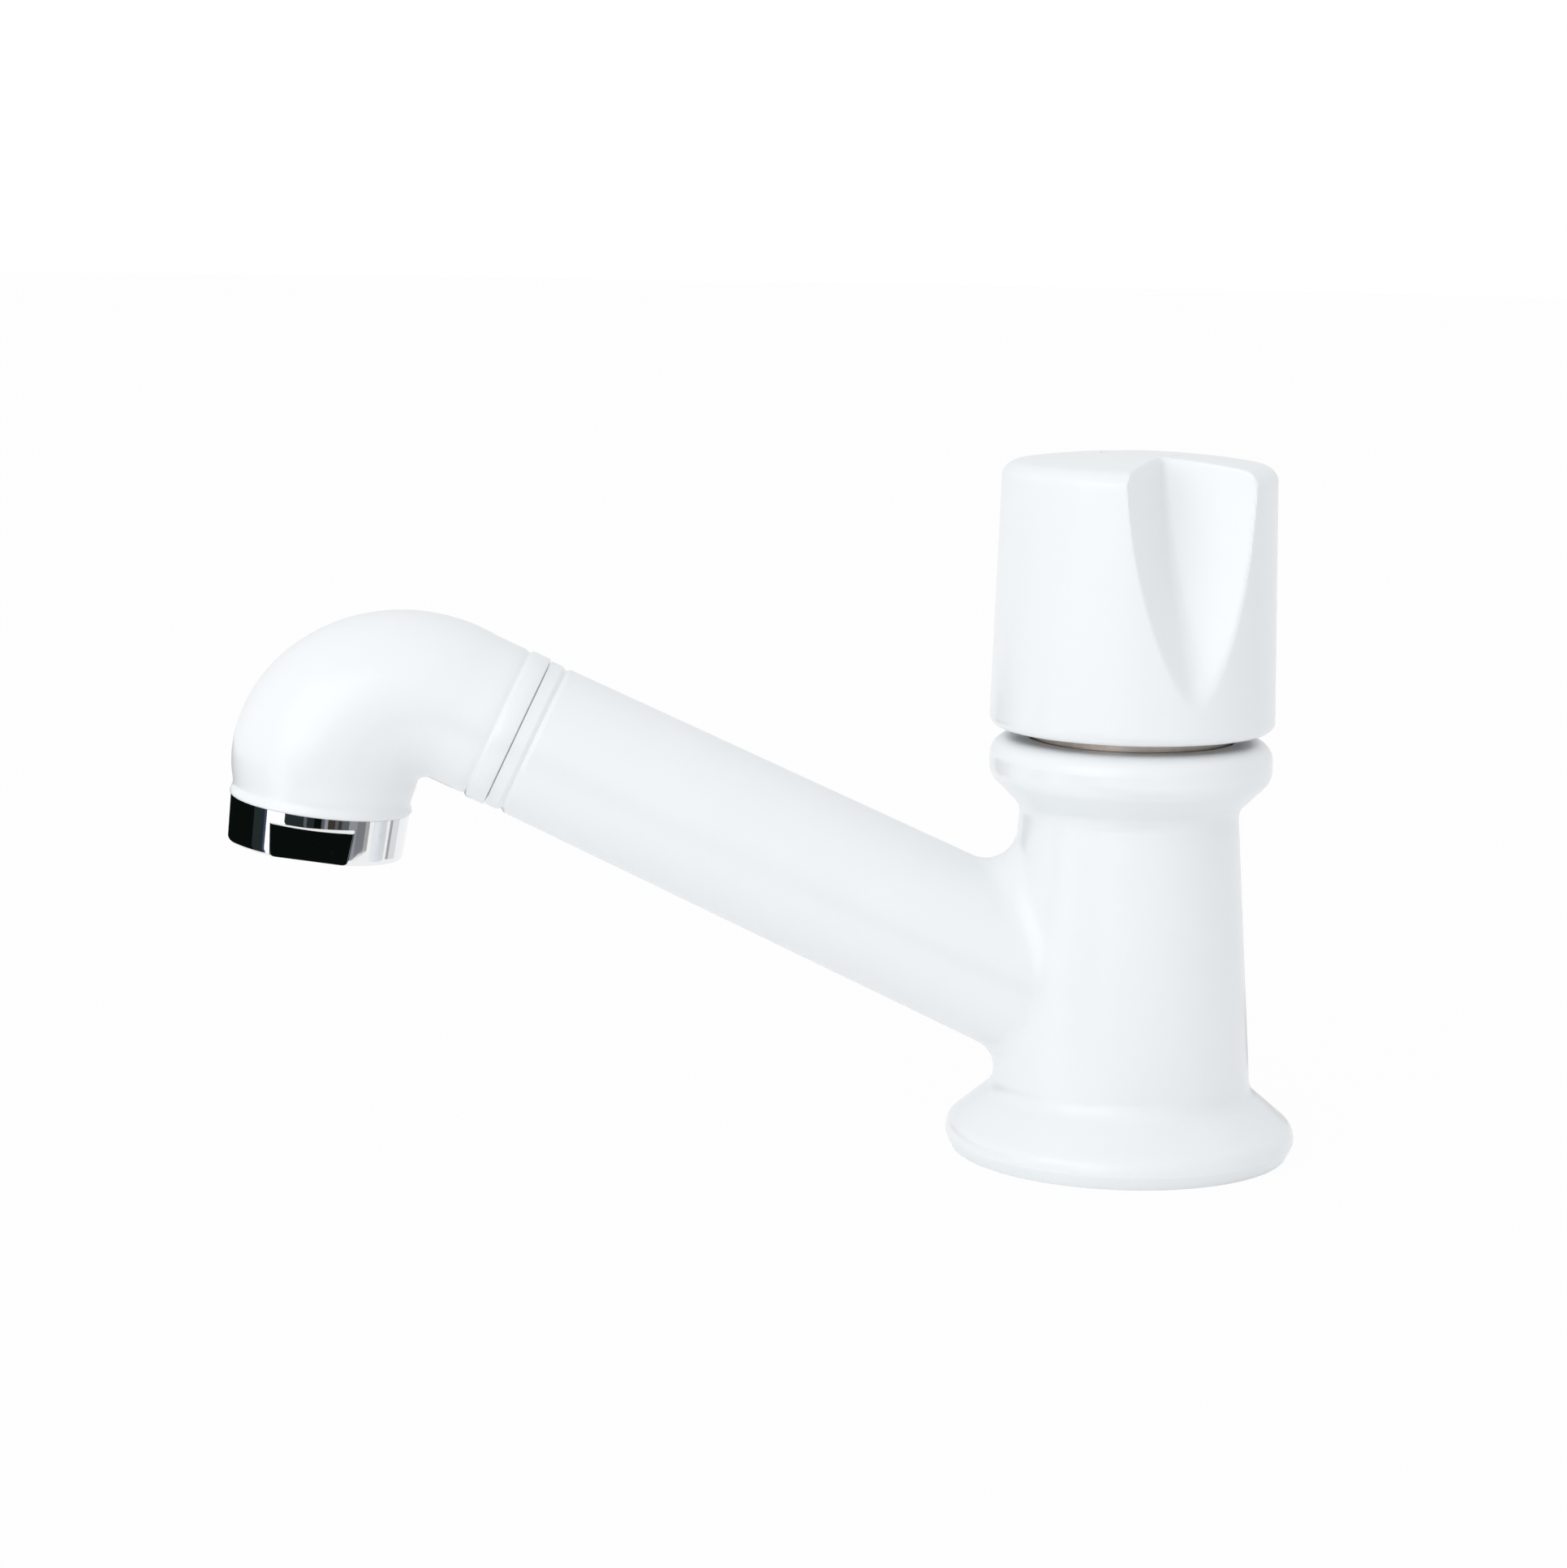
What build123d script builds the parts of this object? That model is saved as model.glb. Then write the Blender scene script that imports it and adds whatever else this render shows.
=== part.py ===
from build123d import *
import os
from math import cos, pi, radians, sin, sqrt, tan

# Basin tap with a tall turning knob and a rising straight spout that ends in a swivelling elbow.
# Millimetres. Origin on the deck at the centre of the round foot, +Z up the column,
# -X towards the outlet, +Y away from the side that the front shows.

# Clearances shared by the fits
thread_clearance = 0.05
turning_clearance = 0.05
drive_clearance = 0.05
guide_clearance = 0.10
ring_squeeze_gap = 0.03
clip_side_gap = 0.03
clip_root_gap = 0.04
cut_overlap = 0.3
tiny = 0.01

# Foot
foot_radius = 25.2
foot_undercut = 0.9
foot_rim_height = 1.9
foot_shoulder_height = 3.6
foot_slope_deg = 40.0
foot_shoulder_round = 2.5
foot_rim_round = 0.6
foot_rim_wall = 2.7
foot_root_round = 3.6

# Column and collar
column_radius = 18.65
column_length = 41.05
neck_radius = 15.6
neck_round = 2.6
collar_radius = 20.2
collar_length = 10.05
collar_under_round = 3.0
collar_top_round = 2.8

# Arm, measured along its own axis from where it crosses the column's axis
arm_root_rise = 10.06
arm_rise_deg = 24.6
arm_length = 97.1
arm_root_radius = 12.3
arm_end_radius = 11.25
arm_fillet = 4.6
joint_step_depth = 1.0
joint_step_width = 0.6
joint_gap = 0.1
band_line_depth = 0.4
band_line_width = 1.2
arm_band_width = 2.4

# Water way inside the body
foot_thread_radius = 13.4
foot_thread_length = 13.2
chamber_radius = 12.0
chamber_overlap = 2.0
arm_bore_radius = 7.4
arm_socket_radius = 8.05

# Deck gasket under the foot
gasket_thickness = 2.2
gasket_side_gap = 0.1

# Threaded shank and riser
shank_radius = 12.0
shank_bore_radius = 6.0
shank_chamfer = 0.8
shank_run_out = 0.9
nut_run_out = 0.2
tail_radius = 10.48
tail_length = 17.7
tail_groove_width = 2.0
tail_groove_depth = 1.3
thread_groove_pitch = 2.7
thread_land_width = 1.0
thread_root_width = 0.5
thread_depth = 1.1
riser_base_gap = 0.3
riser_seal_thickness = 1.2
riser_seal_width = 2.8
riser_radius = 7.6
seat_drop = 10.0
seat_bore_radius = 4.8
seat_bore_length = 8.0
seat_rim_radius = 6.3
seat_rim_height = 1.2

# Backnut and washer that clamp the deck
deck_clamp_thickness = 15.0
deck_washer_thickness = 1.6
deck_washer_radius = 18.5
backnut_flange_radius = 17.6
backnut_flange_thickness = 2.4
backnut_hex_across = 29.0
backnut_height = 9.5

# Headwork bonnet
bonnet_thread_radius = 10.9
bonnet_skirt_relief = 0.7
bonnet_skirt_length = 16.2
bonnet_thread_length = 13.2
bonnet_recess_gap = 0.6
bonnet_recess_depth = 2.0
bonnet_gasket_thickness = 1.0
bonnet_flange_radius = 14.4
bonnet_flange_thickness = 2.0
bonnet_hex_across = 22.0
bonnet_hex_height = 5.8
bonnet_nose_radius = 7.6
bonnet_nose_height = 4.0
bonnet_bore_floor = 14.5

# Spindle
journal_radius = 4.95
spindle_screw_radius = 4.0
spindle_collar_gap = 0.6
spindle_collar_thickness = 2.2
spindle_tail_room = 0.45
spindle_end_gap = 0.1
spline_start_gap = 0.7
spline_radius = 4.0
spline_root_radius = 3.55
spline_teeth = 20
spline_length = 13.1
ring_thickness = 1.2
ring_groove_width = 1.4
ring_first_height = 3.5
ring_pitch = 4.0
clip_thickness = 0.9
clip_radius = 6.6
clip_groove_depth = 0.95
clip_end_gap = 0.15
clip_opening = 3.0

# Plunger and seat washer
seat_washer_thickness = 3.0
seat_washer_radius = 7.0
plunger_disc_radius = 8.0
plunger_disc_thickness = 2.5
plunger_hex_across = 13.0
plunger_lift = 3.75
plunger_top_room = 0.95
plunger_floor_thickness = 0.6
washer_screw_radius = 1.9
washer_screw_head_radius = 3.2
washer_screw_head_height = 1.5
washer_screw_depth = 2.2
washer_screw_end_gap = 0.2

# Knob
knob_gap = 1.5
knob_overhang = 0.16
knob_taper = 0.94
knob_height = 37.3
knob_dome_rise = 0.7
knob_low_round = 1.5
knob_top_round = 1.2
knob_wall = 2.7
knob_skirt_depth = 4.3
knob_core_side_gap = 0.9
knob_core_top_gap = 0.6
knob_upper_radius = 10.0
knob_upper_length = 6.6
knob_hub_radius = 6.6
knob_web_thickness = 4.0
flute_turn_deg = 22.65
flute_half_angle_deg = 52.0
flute_valley_round = 4.0
flute_tip_height = 6.0
flute_tip_inset = 1.06
flute_middle_height = 22.3
flute_middle_radius = 11.1
flute_top_radius = 7.0
flute_rim_round = 0.6

# Knob screw and cap
knob_screw_radius = 1.95
knob_screw_hole_radius = 2.15
knob_screw_head_radius = 3.9
knob_screw_head_height = 2.8
knob_screw_length = 14.0
knob_screw_end_gap = 1.0
knob_well_radius = 4.6
cap_radius = 5.55
cap_side_gap = 0.08
cap_thickness = 1.6
cap_plug_length = 2.6
cap_plug_wall = 1.0

# Elbow
elbow_collar_step = 0.2
elbow_collar_width = 2.7
elbow_neck_length = 7.8
bend_inner_radius = 1.5
bend_turn_deg = 107.6
bend_quarter_swell = 0.63
bend_middle_swell = 1.45
bend_three_quarter_swell = 2.15
bend_end_swell = 2.05
outlet_length = 4.33
outlet_taper = 0.55
lip_flare = 0.3
lip_height = 1.3
lip_edge_height = 0.43
spigot_length = 14.2
spigot_end_gap = 1.4
spigot_wall = 2.0
elbow_bore_radius = 8.0
swivel_ring_first = 3.6
swivel_clip_distance = 11.6
swivel_clip_thickness = 1.0
swivel_clip_depth = 0.85
swivel_clip_reach = 0.5
swivel_clip_opening = 5.0

# Aerator
aerator_spigot_radius = 9.95
aerator_spigot_wall = 1.75
aerator_washer_thickness = 1.2
housing_step = 0.1
housing_taper = 0.3
housing_height = 6.6
housing_low_round = 0.7
housing_mouth_gap = 0.6
housing_ledge_thickness = 1.3
housing_flat_across = 22.0
housing_flat_start = 1.7
insert_flange_thickness = 0.8
insert_side_gap = 0.2
insert_height = 8.5
insert_wall = 1.0
screen_thickness = 0.4
screen_depth = 1.2
grid_thickness = 1.5
grid_recess = 0.5
grid_hole_radius = 0.85
grid_pitch = 2.3
grid_rings = 2


def ring_profile(points):
    """A closed half-section, radius along X and height along Z."""
    return make_face(Polyline(*[(x, 0, z) for x, z in points], close=True))


def turned(points):
    """A solid of revolution about Z from (radius, height) corners."""
    return revolve(ring_profile(points), Axis.Z, 360)


def tube(inner, outer, low, high):
    """A plain ring between two heights."""
    return turned([(inner, low), (outer, low), (outer, high), (inner, high)])


def rod(radius, low, high):
    """A plain cylinder on Z between two heights."""
    return Pos(0, 0, low) * Cylinder(radius, high - low, align=(Align.CENTER, Align.CENTER, Align.MIN))


def hexagon(across, low, high):
    """A hexagonal prism on Z, sized across its flats."""
    return extrude(Pos(0, 0, low) * RegularPolygon(across / 2, 6, major_radius=False), high - low)


def o_ring(inner, outer, height):
    """A rubber ring of round section that fills the space between two radii."""
    thickness = outer - inner
    centre = Location((inner + thickness / 2, 0, height), (90, 0, 0))
    return revolve(centre * Circle(thickness / 2), Axis.Z, 360)


def star(outer, root, low, high):
    """A splined bar with pointed teeth."""
    corners = []
    for step in range(2 * spline_teeth):
        radius = outer if step % 2 == 0 else root
        angle = pi * step / spline_teeth
        corners.append((radius * cos(angle), radius * sin(angle), low))
    return extrude(make_face(Polyline(*corners, close=True)), high - low)


def split_ring(inner, outer, low, high, opening):
    """A flat retaining ring with a slot on its +X side."""
    slot = Pos(outer, 0, (low + high) / 2) * Box(2 * (outer - inner) + outer, opening, 2 * (high - low))
    return tube(inner, outer, low, high) - slot


# Radii that follow from their neighbours
gasket_outer_radius = foot_radius - foot_rim_wall - gasket_side_gap
bonnet_skirt_radius = bonnet_thread_radius - bonnet_skirt_relief
bonnet_recess_radius = bonnet_flange_radius + bonnet_recess_gap
spindle_collar_radius = plunger_hex_across / 2 + guide_clearance - spindle_collar_gap
knob_low_radius = collar_radius + knob_overhang
knob_top_radius = knob_low_radius - knob_taper
knob_middle_radius = bonnet_hex_across / sqrt(3) + knob_core_side_gap
spigot_bore_radius = arm_socket_radius - turning_clearance - spigot_wall
elbow_collar_radius = arm_end_radius + elbow_collar_step
bend_end_radius = arm_end_radius + bend_end_swell
outlet_radius = bend_end_radius - outlet_taper
housing_top_radius = outlet_radius - housing_step
housing_low_radius = housing_top_radius - housing_taper
aerator_spigot_bore = aerator_spigot_radius - aerator_spigot_wall
insert_body_radius = aerator_spigot_bore - insert_side_gap
housing_mouth_radius = insert_body_radius + housing_mouth_gap

# Levels of the foot, column and collar
foot_root_height = foot_shoulder_height + (foot_radius - column_radius) * tan(radians(foot_slope_deg))
neck_height = foot_root_height + column_length
collar_height = neck_height + collar_length

# Frames of the arm and the outlet
arm_root_height = foot_root_height + arm_root_rise
arm_socket_depth = spigot_length + spigot_end_gap
collar_face = arm_length + joint_gap
bend_start = collar_face + elbow_neck_length
arm_direction = Vector(-cos(radians(arm_rise_deg)), 0, sin(radians(arm_rise_deg)))
arm_up = Vector(sin(radians(arm_rise_deg)), 0, cos(radians(arm_rise_deg)))
arm_root = Vector(0, 0, arm_root_height)
arm_frame = Plane(origin=arm_root, x_dir=arm_up, z_dir=arm_direction)


def bend_spoke(angle_deg):
    """The direction from the bend's centre to the tube's middle at an angle round the bend."""
    return arm_up * cos(radians(angle_deg)) + arm_direction * sin(radians(angle_deg))


def bend_heading(angle_deg):
    """The direction of flow at an angle round the bend."""
    return arm_direction * cos(radians(angle_deg)) - arm_up * sin(radians(angle_deg))


bend_centre = arm_root + arm_direction * bend_start - arm_up * (arm_end_radius + bend_inner_radius)


def bend_middle(angle_deg, radius):
    """The middle of the tube at an angle round the bend, for a tube of the given radius there."""
    return bend_centre + bend_spoke(angle_deg) * (bend_inner_radius + radius)


outlet_direction = bend_heading(bend_turn_deg)
outlet_across = bend_spoke(bend_turn_deg) * -1
bend_end = bend_middle(bend_turn_deg, bend_end_radius)
lip_centre = bend_end + outlet_direction * outlet_length
outlet_frame = Plane(origin=lip_centre, x_dir=outlet_across, z_dir=outlet_direction)

# Levels of the pieces inside the column and the knob
recess_floor = collar_height - bonnet_recess_depth
bonnet_seat = recess_floor + bonnet_gasket_thickness
bonnet_bottom = bonnet_seat - bonnet_gasket_thickness - bonnet_skirt_length
bonnet_hex_low = bonnet_seat + bonnet_flange_thickness
bonnet_hex_top = bonnet_hex_low + bonnet_hex_height
bonnet_top = bonnet_hex_top + bonnet_nose_height
bonnet_floor = bonnet_bottom + bonnet_bore_floor
chamber_top = bonnet_bottom + chamber_overlap
seat_height = bonnet_bottom - seat_drop
riser_base_top = foot_thread_length - riser_seal_thickness
plunger_low = seat_height + seat_washer_thickness
plunger_disc_top = plunger_low + plunger_disc_thickness
plunger_bore_low = plunger_disc_top + plunger_floor_thickness
spindle_bottom = plunger_bore_low + plunger_lift + spindle_tail_room
spindle_collar_top = bonnet_floor - spindle_end_gap
spindle_collar_low = spindle_collar_top - spindle_collar_thickness
plunger_top = spindle_collar_low - plunger_top_room - plunger_lift
clip_low = bonnet_top + clip_end_gap
spline_low = clip_low + clip_thickness + clip_end_gap + spline_start_gap
spline_top = spline_low + spline_length
knob_low = collar_height + knob_gap
knob_edge = knob_low + knob_height
knob_top = knob_edge + knob_dome_rise
knob_web_top = spline_top + knob_web_thickness
knob_middle_top = bonnet_top + knob_core_top_gap
knob_upper_top = knob_middle_top + knob_upper_length

# Levels of the shank and of what clamps the deck
deck_washer_low = -deck_clamp_thickness - deck_washer_thickness
backnut_low = deck_washer_low - backnut_height
shank_step_height = backnut_low - nut_run_out
tail_top = shank_step_height - tail_groove_width
shank_low = tail_top - tail_length

# Depths of the aerator's pieces below the elbow's lip, along the outlet
insert_flange_low = housing_height - housing_ledge_thickness
insert_flange_high = insert_flange_low - insert_flange_thickness
insert_low = housing_height - grid_recess
aerator_spigot_length = insert_flange_high - aerator_washer_thickness


def column_outline():
    """Half-section of the foot, column and collar, from the deck up, with its rounded corners."""
    collar_low = neck_height + collar_radius - neck_radius
    corners = [
        (foot_radius - foot_undercut, 0, 0),
        (foot_radius, 0, foot_rim_height),
        (foot_radius, 0, foot_shoulder_height),
        (column_radius, 0, foot_root_height),
        (neck_radius, 0, neck_height),
        (collar_radius, 0, collar_low),
        (collar_radius, 0, collar_height),
        (0, 0, collar_height),
    ]
    foot_rounds = [foot_rim_round, foot_shoulder_round, foot_root_round]
    edge = FilletPolyline(*corners, radius=foot_rounds + [neck_round, collar_under_round, collar_top_round])
    back = Polyline(corners[-1], (0, 0, 0), corners[0])
    return make_face(edge.edges() + back.edges())


def band_line(distance, radius):
    """A shallow V-shaped line round the arm or elbow, centred at a distance along it."""
    inner = radius - band_line_depth
    outer = radius + band_line_depth
    return turned([
        (inner, distance),
        (outer, distance - band_line_width),
        (outer, distance + band_line_width),
    ])


def make_body_shell():
    """Foot, column, collar and arm in one moulding, with the water way cut through it."""
    column = revolve(column_outline(), Axis.Z, 360)
    arm_step = arm_length - joint_step_width
    step_radius = arm_end_radius - joint_step_depth
    arm = turned([(0, 0), (arm_root_radius, 0), (arm_end_radius, arm_step), (0, arm_step)])
    outside = column + arm_frame.location * arm
    junction = [edge for edge in outside.edges() if is_junction(edge)]
    outside = fillet(junction, arm_fillet)
    outside -= arm_frame.location * band_line(arm_step - arm_band_width, arm_end_radius)
    outside += arm_frame.location * rod(step_radius, arm_step - joint_step_width, arm_length)
    foot_bore = foot_thread_radius + thread_clearance
    neck_bore = bonnet_thread_radius + thread_clearance
    inside = rod(foot_bore, 0, foot_thread_length)
    inside += rod(chamber_radius, foot_thread_length, chamber_top)
    inside += rod(neck_bore, chamber_top, recess_floor)
    inside += rod(bonnet_recess_radius, recess_floor, collar_height)
    inside += rod(gasket_outer_radius + gasket_side_gap, 0, gasket_thickness)
    socket_low = arm_length - arm_socket_depth
    way = rod(arm_bore_radius, arm_bore_radius / 2, socket_low)
    way += rod(arm_socket_radius, socket_low, arm_length)
    way += clip_groove()
    return outside - inside - arm_frame.location * way


def is_junction(edge):
    """Whether an edge is the line where the arm meets the column."""
    box = edge.bounding_box()
    beside_column = box.min.X < -neck_radius and box.max.X > -column_radius - arm_fillet
    return beside_column and box.size.Z > arm_root_radius


def clip_groove():
    """The groove in the arm's socket that the swivel clip springs into."""
    middle = arm_length - swivel_clip_distance
    half = swivel_clip_thickness / 2 + guide_clearance
    outer = arm_socket_radius + swivel_clip_reach + guide_clearance
    return tube(arm_socket_radius - cut_overlap, outer, middle - half, middle + half)


def make_deck_gasket():
    """Rubber ring in the recess under the foot."""
    inner = foot_thread_radius + thread_clearance + gasket_side_gap
    return tube(inner, gasket_outer_radius, 0, gasket_thickness)


def thread_corners(radius, low, high):
    """Corners of a threaded stretch, its thread drawn as level grooves between lands."""
    count = int((high - low) / thread_groove_pitch)
    pitch = (high - low - thread_land_width) / count
    root = radius - thread_depth
    corners = [(radius, low)]
    for step in range(count):
        groove_low = low + step * pitch + thread_land_width
        groove_high = low + (step + 1) * pitch
        slope = (groove_high - groove_low - thread_root_width) / 2
        corners.append((radius, groove_low))
        corners.append((root, groove_low + slope))
        corners.append((root, groove_high - slope))
        corners.append((radius, groove_high))
    corners.append((radius, high))
    return corners


def make_inlet_riser():
    """Threaded shank, its screwed head in the foot, and the riser that carries the valve seat.

    The tail, which the supply nut takes, is slimmer than the stretch above it, so that the
    backnut passes over it. A groove parts the two.
    """
    groove_radius = tail_radius - tail_groove_depth
    seat_low = seat_height - seat_rim_height
    tail = thread_corners(tail_radius, shank_low + shank_chamfer, tail_top)
    stretch = thread_corners(shank_radius, shank_step_height + shank_chamfer, -shank_run_out)
    return turned([
        (shank_bore_radius, shank_low),
        (tail_radius - shank_chamfer, shank_low),
        *tail,
        (groove_radius, tail_top),
        (groove_radius, shank_step_height),
        (shank_radius - shank_chamfer, shank_step_height),
        *stretch,
        (shank_radius, riser_base_gap),
        (foot_thread_radius, riser_base_gap),
        (foot_thread_radius, riser_base_top),
        (riser_radius, riser_base_top),
        (riser_radius, seat_low),
        (seat_rim_radius, seat_height),
        (seat_bore_radius, seat_height),
        (seat_bore_radius, seat_height - seat_bore_length),
        (shank_bore_radius, seat_height - seat_bore_length),
    ])


def make_riser_seal():
    """Flat seal between the riser's head and the step in the column."""
    outer = foot_thread_radius
    return tube(outer - riser_seal_width, outer, riser_base_top, foot_thread_length)


def make_deck_washer():
    """Washer under the deck."""
    return tube(shank_radius + thread_clearance, deck_washer_radius, deck_washer_low, -deck_clamp_thickness)


def make_backnut():
    """Flanged hexagonal nut that pulls the foot down on the deck."""
    top = deck_washer_low
    nut = hexagon(backnut_hex_across, backnut_low, top)
    nut += rod(backnut_flange_radius, top - backnut_flange_thickness, top)
    return nut - rod(shank_radius + thread_clearance, backnut_low, top)


def make_bonnet():
    """Headwork body that screws into the collar and guides the plunger and the spindle."""
    thread_low = recess_floor - bonnet_thread_length
    outside = rod(bonnet_skirt_radius, bonnet_bottom, thread_low)
    outside += rod(bonnet_thread_radius, thread_low, bonnet_seat)
    outside += rod(bonnet_flange_radius, bonnet_seat, bonnet_hex_low)
    outside += hexagon(bonnet_hex_across, bonnet_hex_low, bonnet_hex_top)
    outside += rod(bonnet_nose_radius, bonnet_hex_top, bonnet_top)
    guide = hexagon(plunger_hex_across + 2 * guide_clearance, bonnet_bottom, bonnet_floor)
    journal = rod(journal_radius + turning_clearance, bonnet_floor, bonnet_top)
    return outside - guide - journal


def make_bonnet_gasket():
    """Seal between the bonnet's flange and the collar."""
    inner = bonnet_thread_radius + gasket_side_gap
    return tube(inner, bonnet_flange_radius, recess_floor, bonnet_seat)


def ring_heights():
    """Heights of the two rubber rings on the spindle."""
    first = bonnet_floor + ring_first_height
    return [first, first + ring_pitch]


def ring_root(bore):
    """Radius at the bottom of a ring groove that faces the given bore."""
    return bore - 2 * ring_squeeze_gap - ring_thickness


def make_spindle():
    """Turning spindle: lifting screw, thrust collar, sealed journal and splined head."""
    spindle = rod(spindle_screw_radius, spindle_bottom, spindle_collar_low)
    spindle += rod(spindle_collar_radius, spindle_collar_low, spindle_collar_top)
    spindle += rod(journal_radius, spindle_collar_top, spline_low)
    spindle += star(spline_radius, spline_root_radius, spline_low, spline_top)
    bore = journal_radius + turning_clearance
    for height in ring_heights():
        low = height - ring_groove_width / 2
        spindle -= tube(ring_root(bore), bore, low, low + ring_groove_width)
    groove_root = journal_radius - clip_groove_depth
    spindle -= tube(groove_root, bore, clip_low - clip_side_gap, clip_low + clip_thickness + clip_side_gap)
    hole_low = knob_web_top - knob_screw_length - knob_screw_end_gap
    return spindle - rod(knob_screw_radius + thread_clearance, hole_low, spline_top)


def make_spindle_o_rings():
    """The two rubber rings that seal the spindle's journal."""
    bore = journal_radius + turning_clearance
    root = ring_root(bore)
    return [o_ring(root + ring_squeeze_gap, bore - ring_squeeze_gap, height) for height in ring_heights()]


def make_spindle_clip():
    """Split ring above the bonnet that keeps the spindle from dropping."""
    inner = journal_radius - clip_groove_depth + clip_root_gap
    return split_ring(inner, clip_radius, clip_low, clip_low + clip_thickness, clip_opening)


def make_plunger():
    """Rising plunger: a disc for the seat washer under a hexagonal stem with a threaded bore."""
    plunger = rod(plunger_disc_radius, plunger_low, plunger_disc_top)
    plunger += hexagon(plunger_hex_across, plunger_disc_top, plunger_top)
    plunger -= rod(spindle_screw_radius + turning_clearance, plunger_bore_low, plunger_top)
    hole_top = plunger_low + washer_screw_depth + washer_screw_end_gap
    return plunger - rod(washer_screw_radius + thread_clearance, plunger_low, hole_top)


def make_seat_washer():
    """Rubber washer that closes the seat."""
    return tube(washer_screw_radius + thread_clearance, seat_washer_radius, seat_height, plunger_low)


def make_washer_screw():
    """Screw that holds the seat washer to the plunger."""
    screw = rod(washer_screw_head_radius, seat_height - washer_screw_head_height, seat_height)
    return screw + rod(washer_screw_radius, seat_height, plunger_low + washer_screw_depth)


def flute_cutter():
    """The V-shaped flute of the knob, in the X direction.

    Its valley follows an arc in the XZ plane. Each wall is that arc carried sideways,
    level, at the flute's half angle.
    """
    tip = (knob_low_radius - flute_tip_inset, 0, knob_low + flute_tip_height)
    middle = (flute_middle_radius, 0, knob_low + flute_middle_height)
    top = (flute_top_radius, 0, knob_edge)
    far = 2 * knob_low_radius
    valley = ThreePointArc(tip, middle, top)
    rise = (valley % 1) * (knob_low_round + knob_dome_rise)
    above = valley @ 1 + rise
    rest = Polyline(top, above, (far, 0, above.Z), (far, 0, tip[2]), tip)
    region = make_face(valley.edges() + rest.edges())
    angle = radians(flute_half_angle_deg)
    walls = [extrude(region, far, dir=(cos(angle), side * sin(angle), 0)) for side in (1, -1)]
    wedge = walls[0] + walls[1]
    middle_edges = [edge for edge in wedge.edges() if abs(edge.center().Y) < tiny]
    return fillet([edge for edge in middle_edges if edge.center().X < tip[0]], flute_valley_round)


def knob_dome():
    """The large sphere whose cap is the knob's slightly domed top."""
    radius = (knob_top_radius**2 + knob_dome_rise**2) / (2 * knob_dome_rise)
    return Pos(0, 0, knob_top - radius) * Sphere(radius)


def knob_outside():
    """The knob's body: a tapering drum with a rounded foot, a domed top and two opposite flutes."""
    high = knob_top + knob_dome_rise
    taper = (knob_low_radius - knob_top_radius) / knob_height
    high_radius = knob_low_radius - taper * (high - knob_low)
    drum = turned([(0, knob_low), (knob_low_radius, knob_low), (high_radius, high), (0, high)]) & knob_dome()
    drum = fillet(closed_rims(drum)[-1], knob_top_round)
    drum = fillet(closed_rims(drum)[0], knob_low_round)
    for turn in (flute_turn_deg - 90, flute_turn_deg + 90):
        drum -= Rot(0, 0, turn) * flute_cutter()
    return fillet(flute_rims(drum), flute_rim_round)


def closed_rims(solid):
    """The closed circular edges of a turned solid, from the lowest up."""
    return sorted([edge for edge in solid.edges() if edge.is_closed], key=lambda edge: edge.center().Z)


def flute_rims(drum):
    """The edges where the flutes meet the drum's own turned faces."""
    turned_kinds = (GeomType.CONE, GeomType.TORUS, GeomType.SPHERE)
    turned_faces = [face for face in drum.faces() if face.geom_type in turned_kinds]
    flute_faces = [face for face in drum.faces() if face.geom_type not in turned_kinds]
    turned_edges = [edge for face in turned_faces for edge in face.edges()]
    rims = [edge for face in flute_faces for edge in face.edges() if is_rim(edge)]
    return [edge for edge in rims if any(edge.is_same(other) for other in turned_edges)]


def is_rim(edge):
    """Whether an edge lies above the knob's foot."""
    return edge.center().Z > knob_low + 2 * knob_low_round


def make_knob():
    """Drum knob with two opposite flutes, cored from below round its splined hub."""
    knob = knob_outside()
    hub = rod(knob_hub_radius, spline_low, knob_upper_top)
    core = rod(knob_low_radius - knob_wall, knob_low, knob_low + knob_skirt_depth)
    core += rod(knob_middle_radius, knob_low, knob_middle_top)
    core += rod(knob_upper_radius, knob_low, knob_upper_top) - hub
    knob -= core
    reach = drive_clearance
    knob -= star(spline_radius + reach, spline_root_radius + reach, spline_low, spline_top)
    knob -= rod(knob_screw_hole_radius, spline_top, knob_web_top)
    knob -= rod(knob_well_radius, knob_web_top, knob_top)
    return knob - rod(cap_radius + cap_side_gap, knob_edge - cap_thickness, knob_top)


def make_knob_cap():
    """Snap-in cap, flush with the knob's domed top, that hides the screw."""
    floor = knob_edge - cap_thickness
    plug = tube(knob_well_radius - cap_side_gap - cap_plug_wall, knob_well_radius - cap_side_gap,
                floor - cap_plug_length, floor)
    cap = rod(cap_radius, floor, knob_top + knob_dome_rise) & knob_dome()
    return cap + plug


def make_knob_screw():
    """Screw through the knob's web into the spindle."""
    head_top = knob_web_top + knob_screw_head_height
    screw = rod(knob_screw_head_radius, knob_web_top, head_top)
    screw += rod(knob_screw_radius, knob_web_top - knob_screw_length, knob_web_top)
    return screw - hexagon(knob_screw_head_radius, head_top - knob_screw_head_height / 2, head_top)


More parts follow.
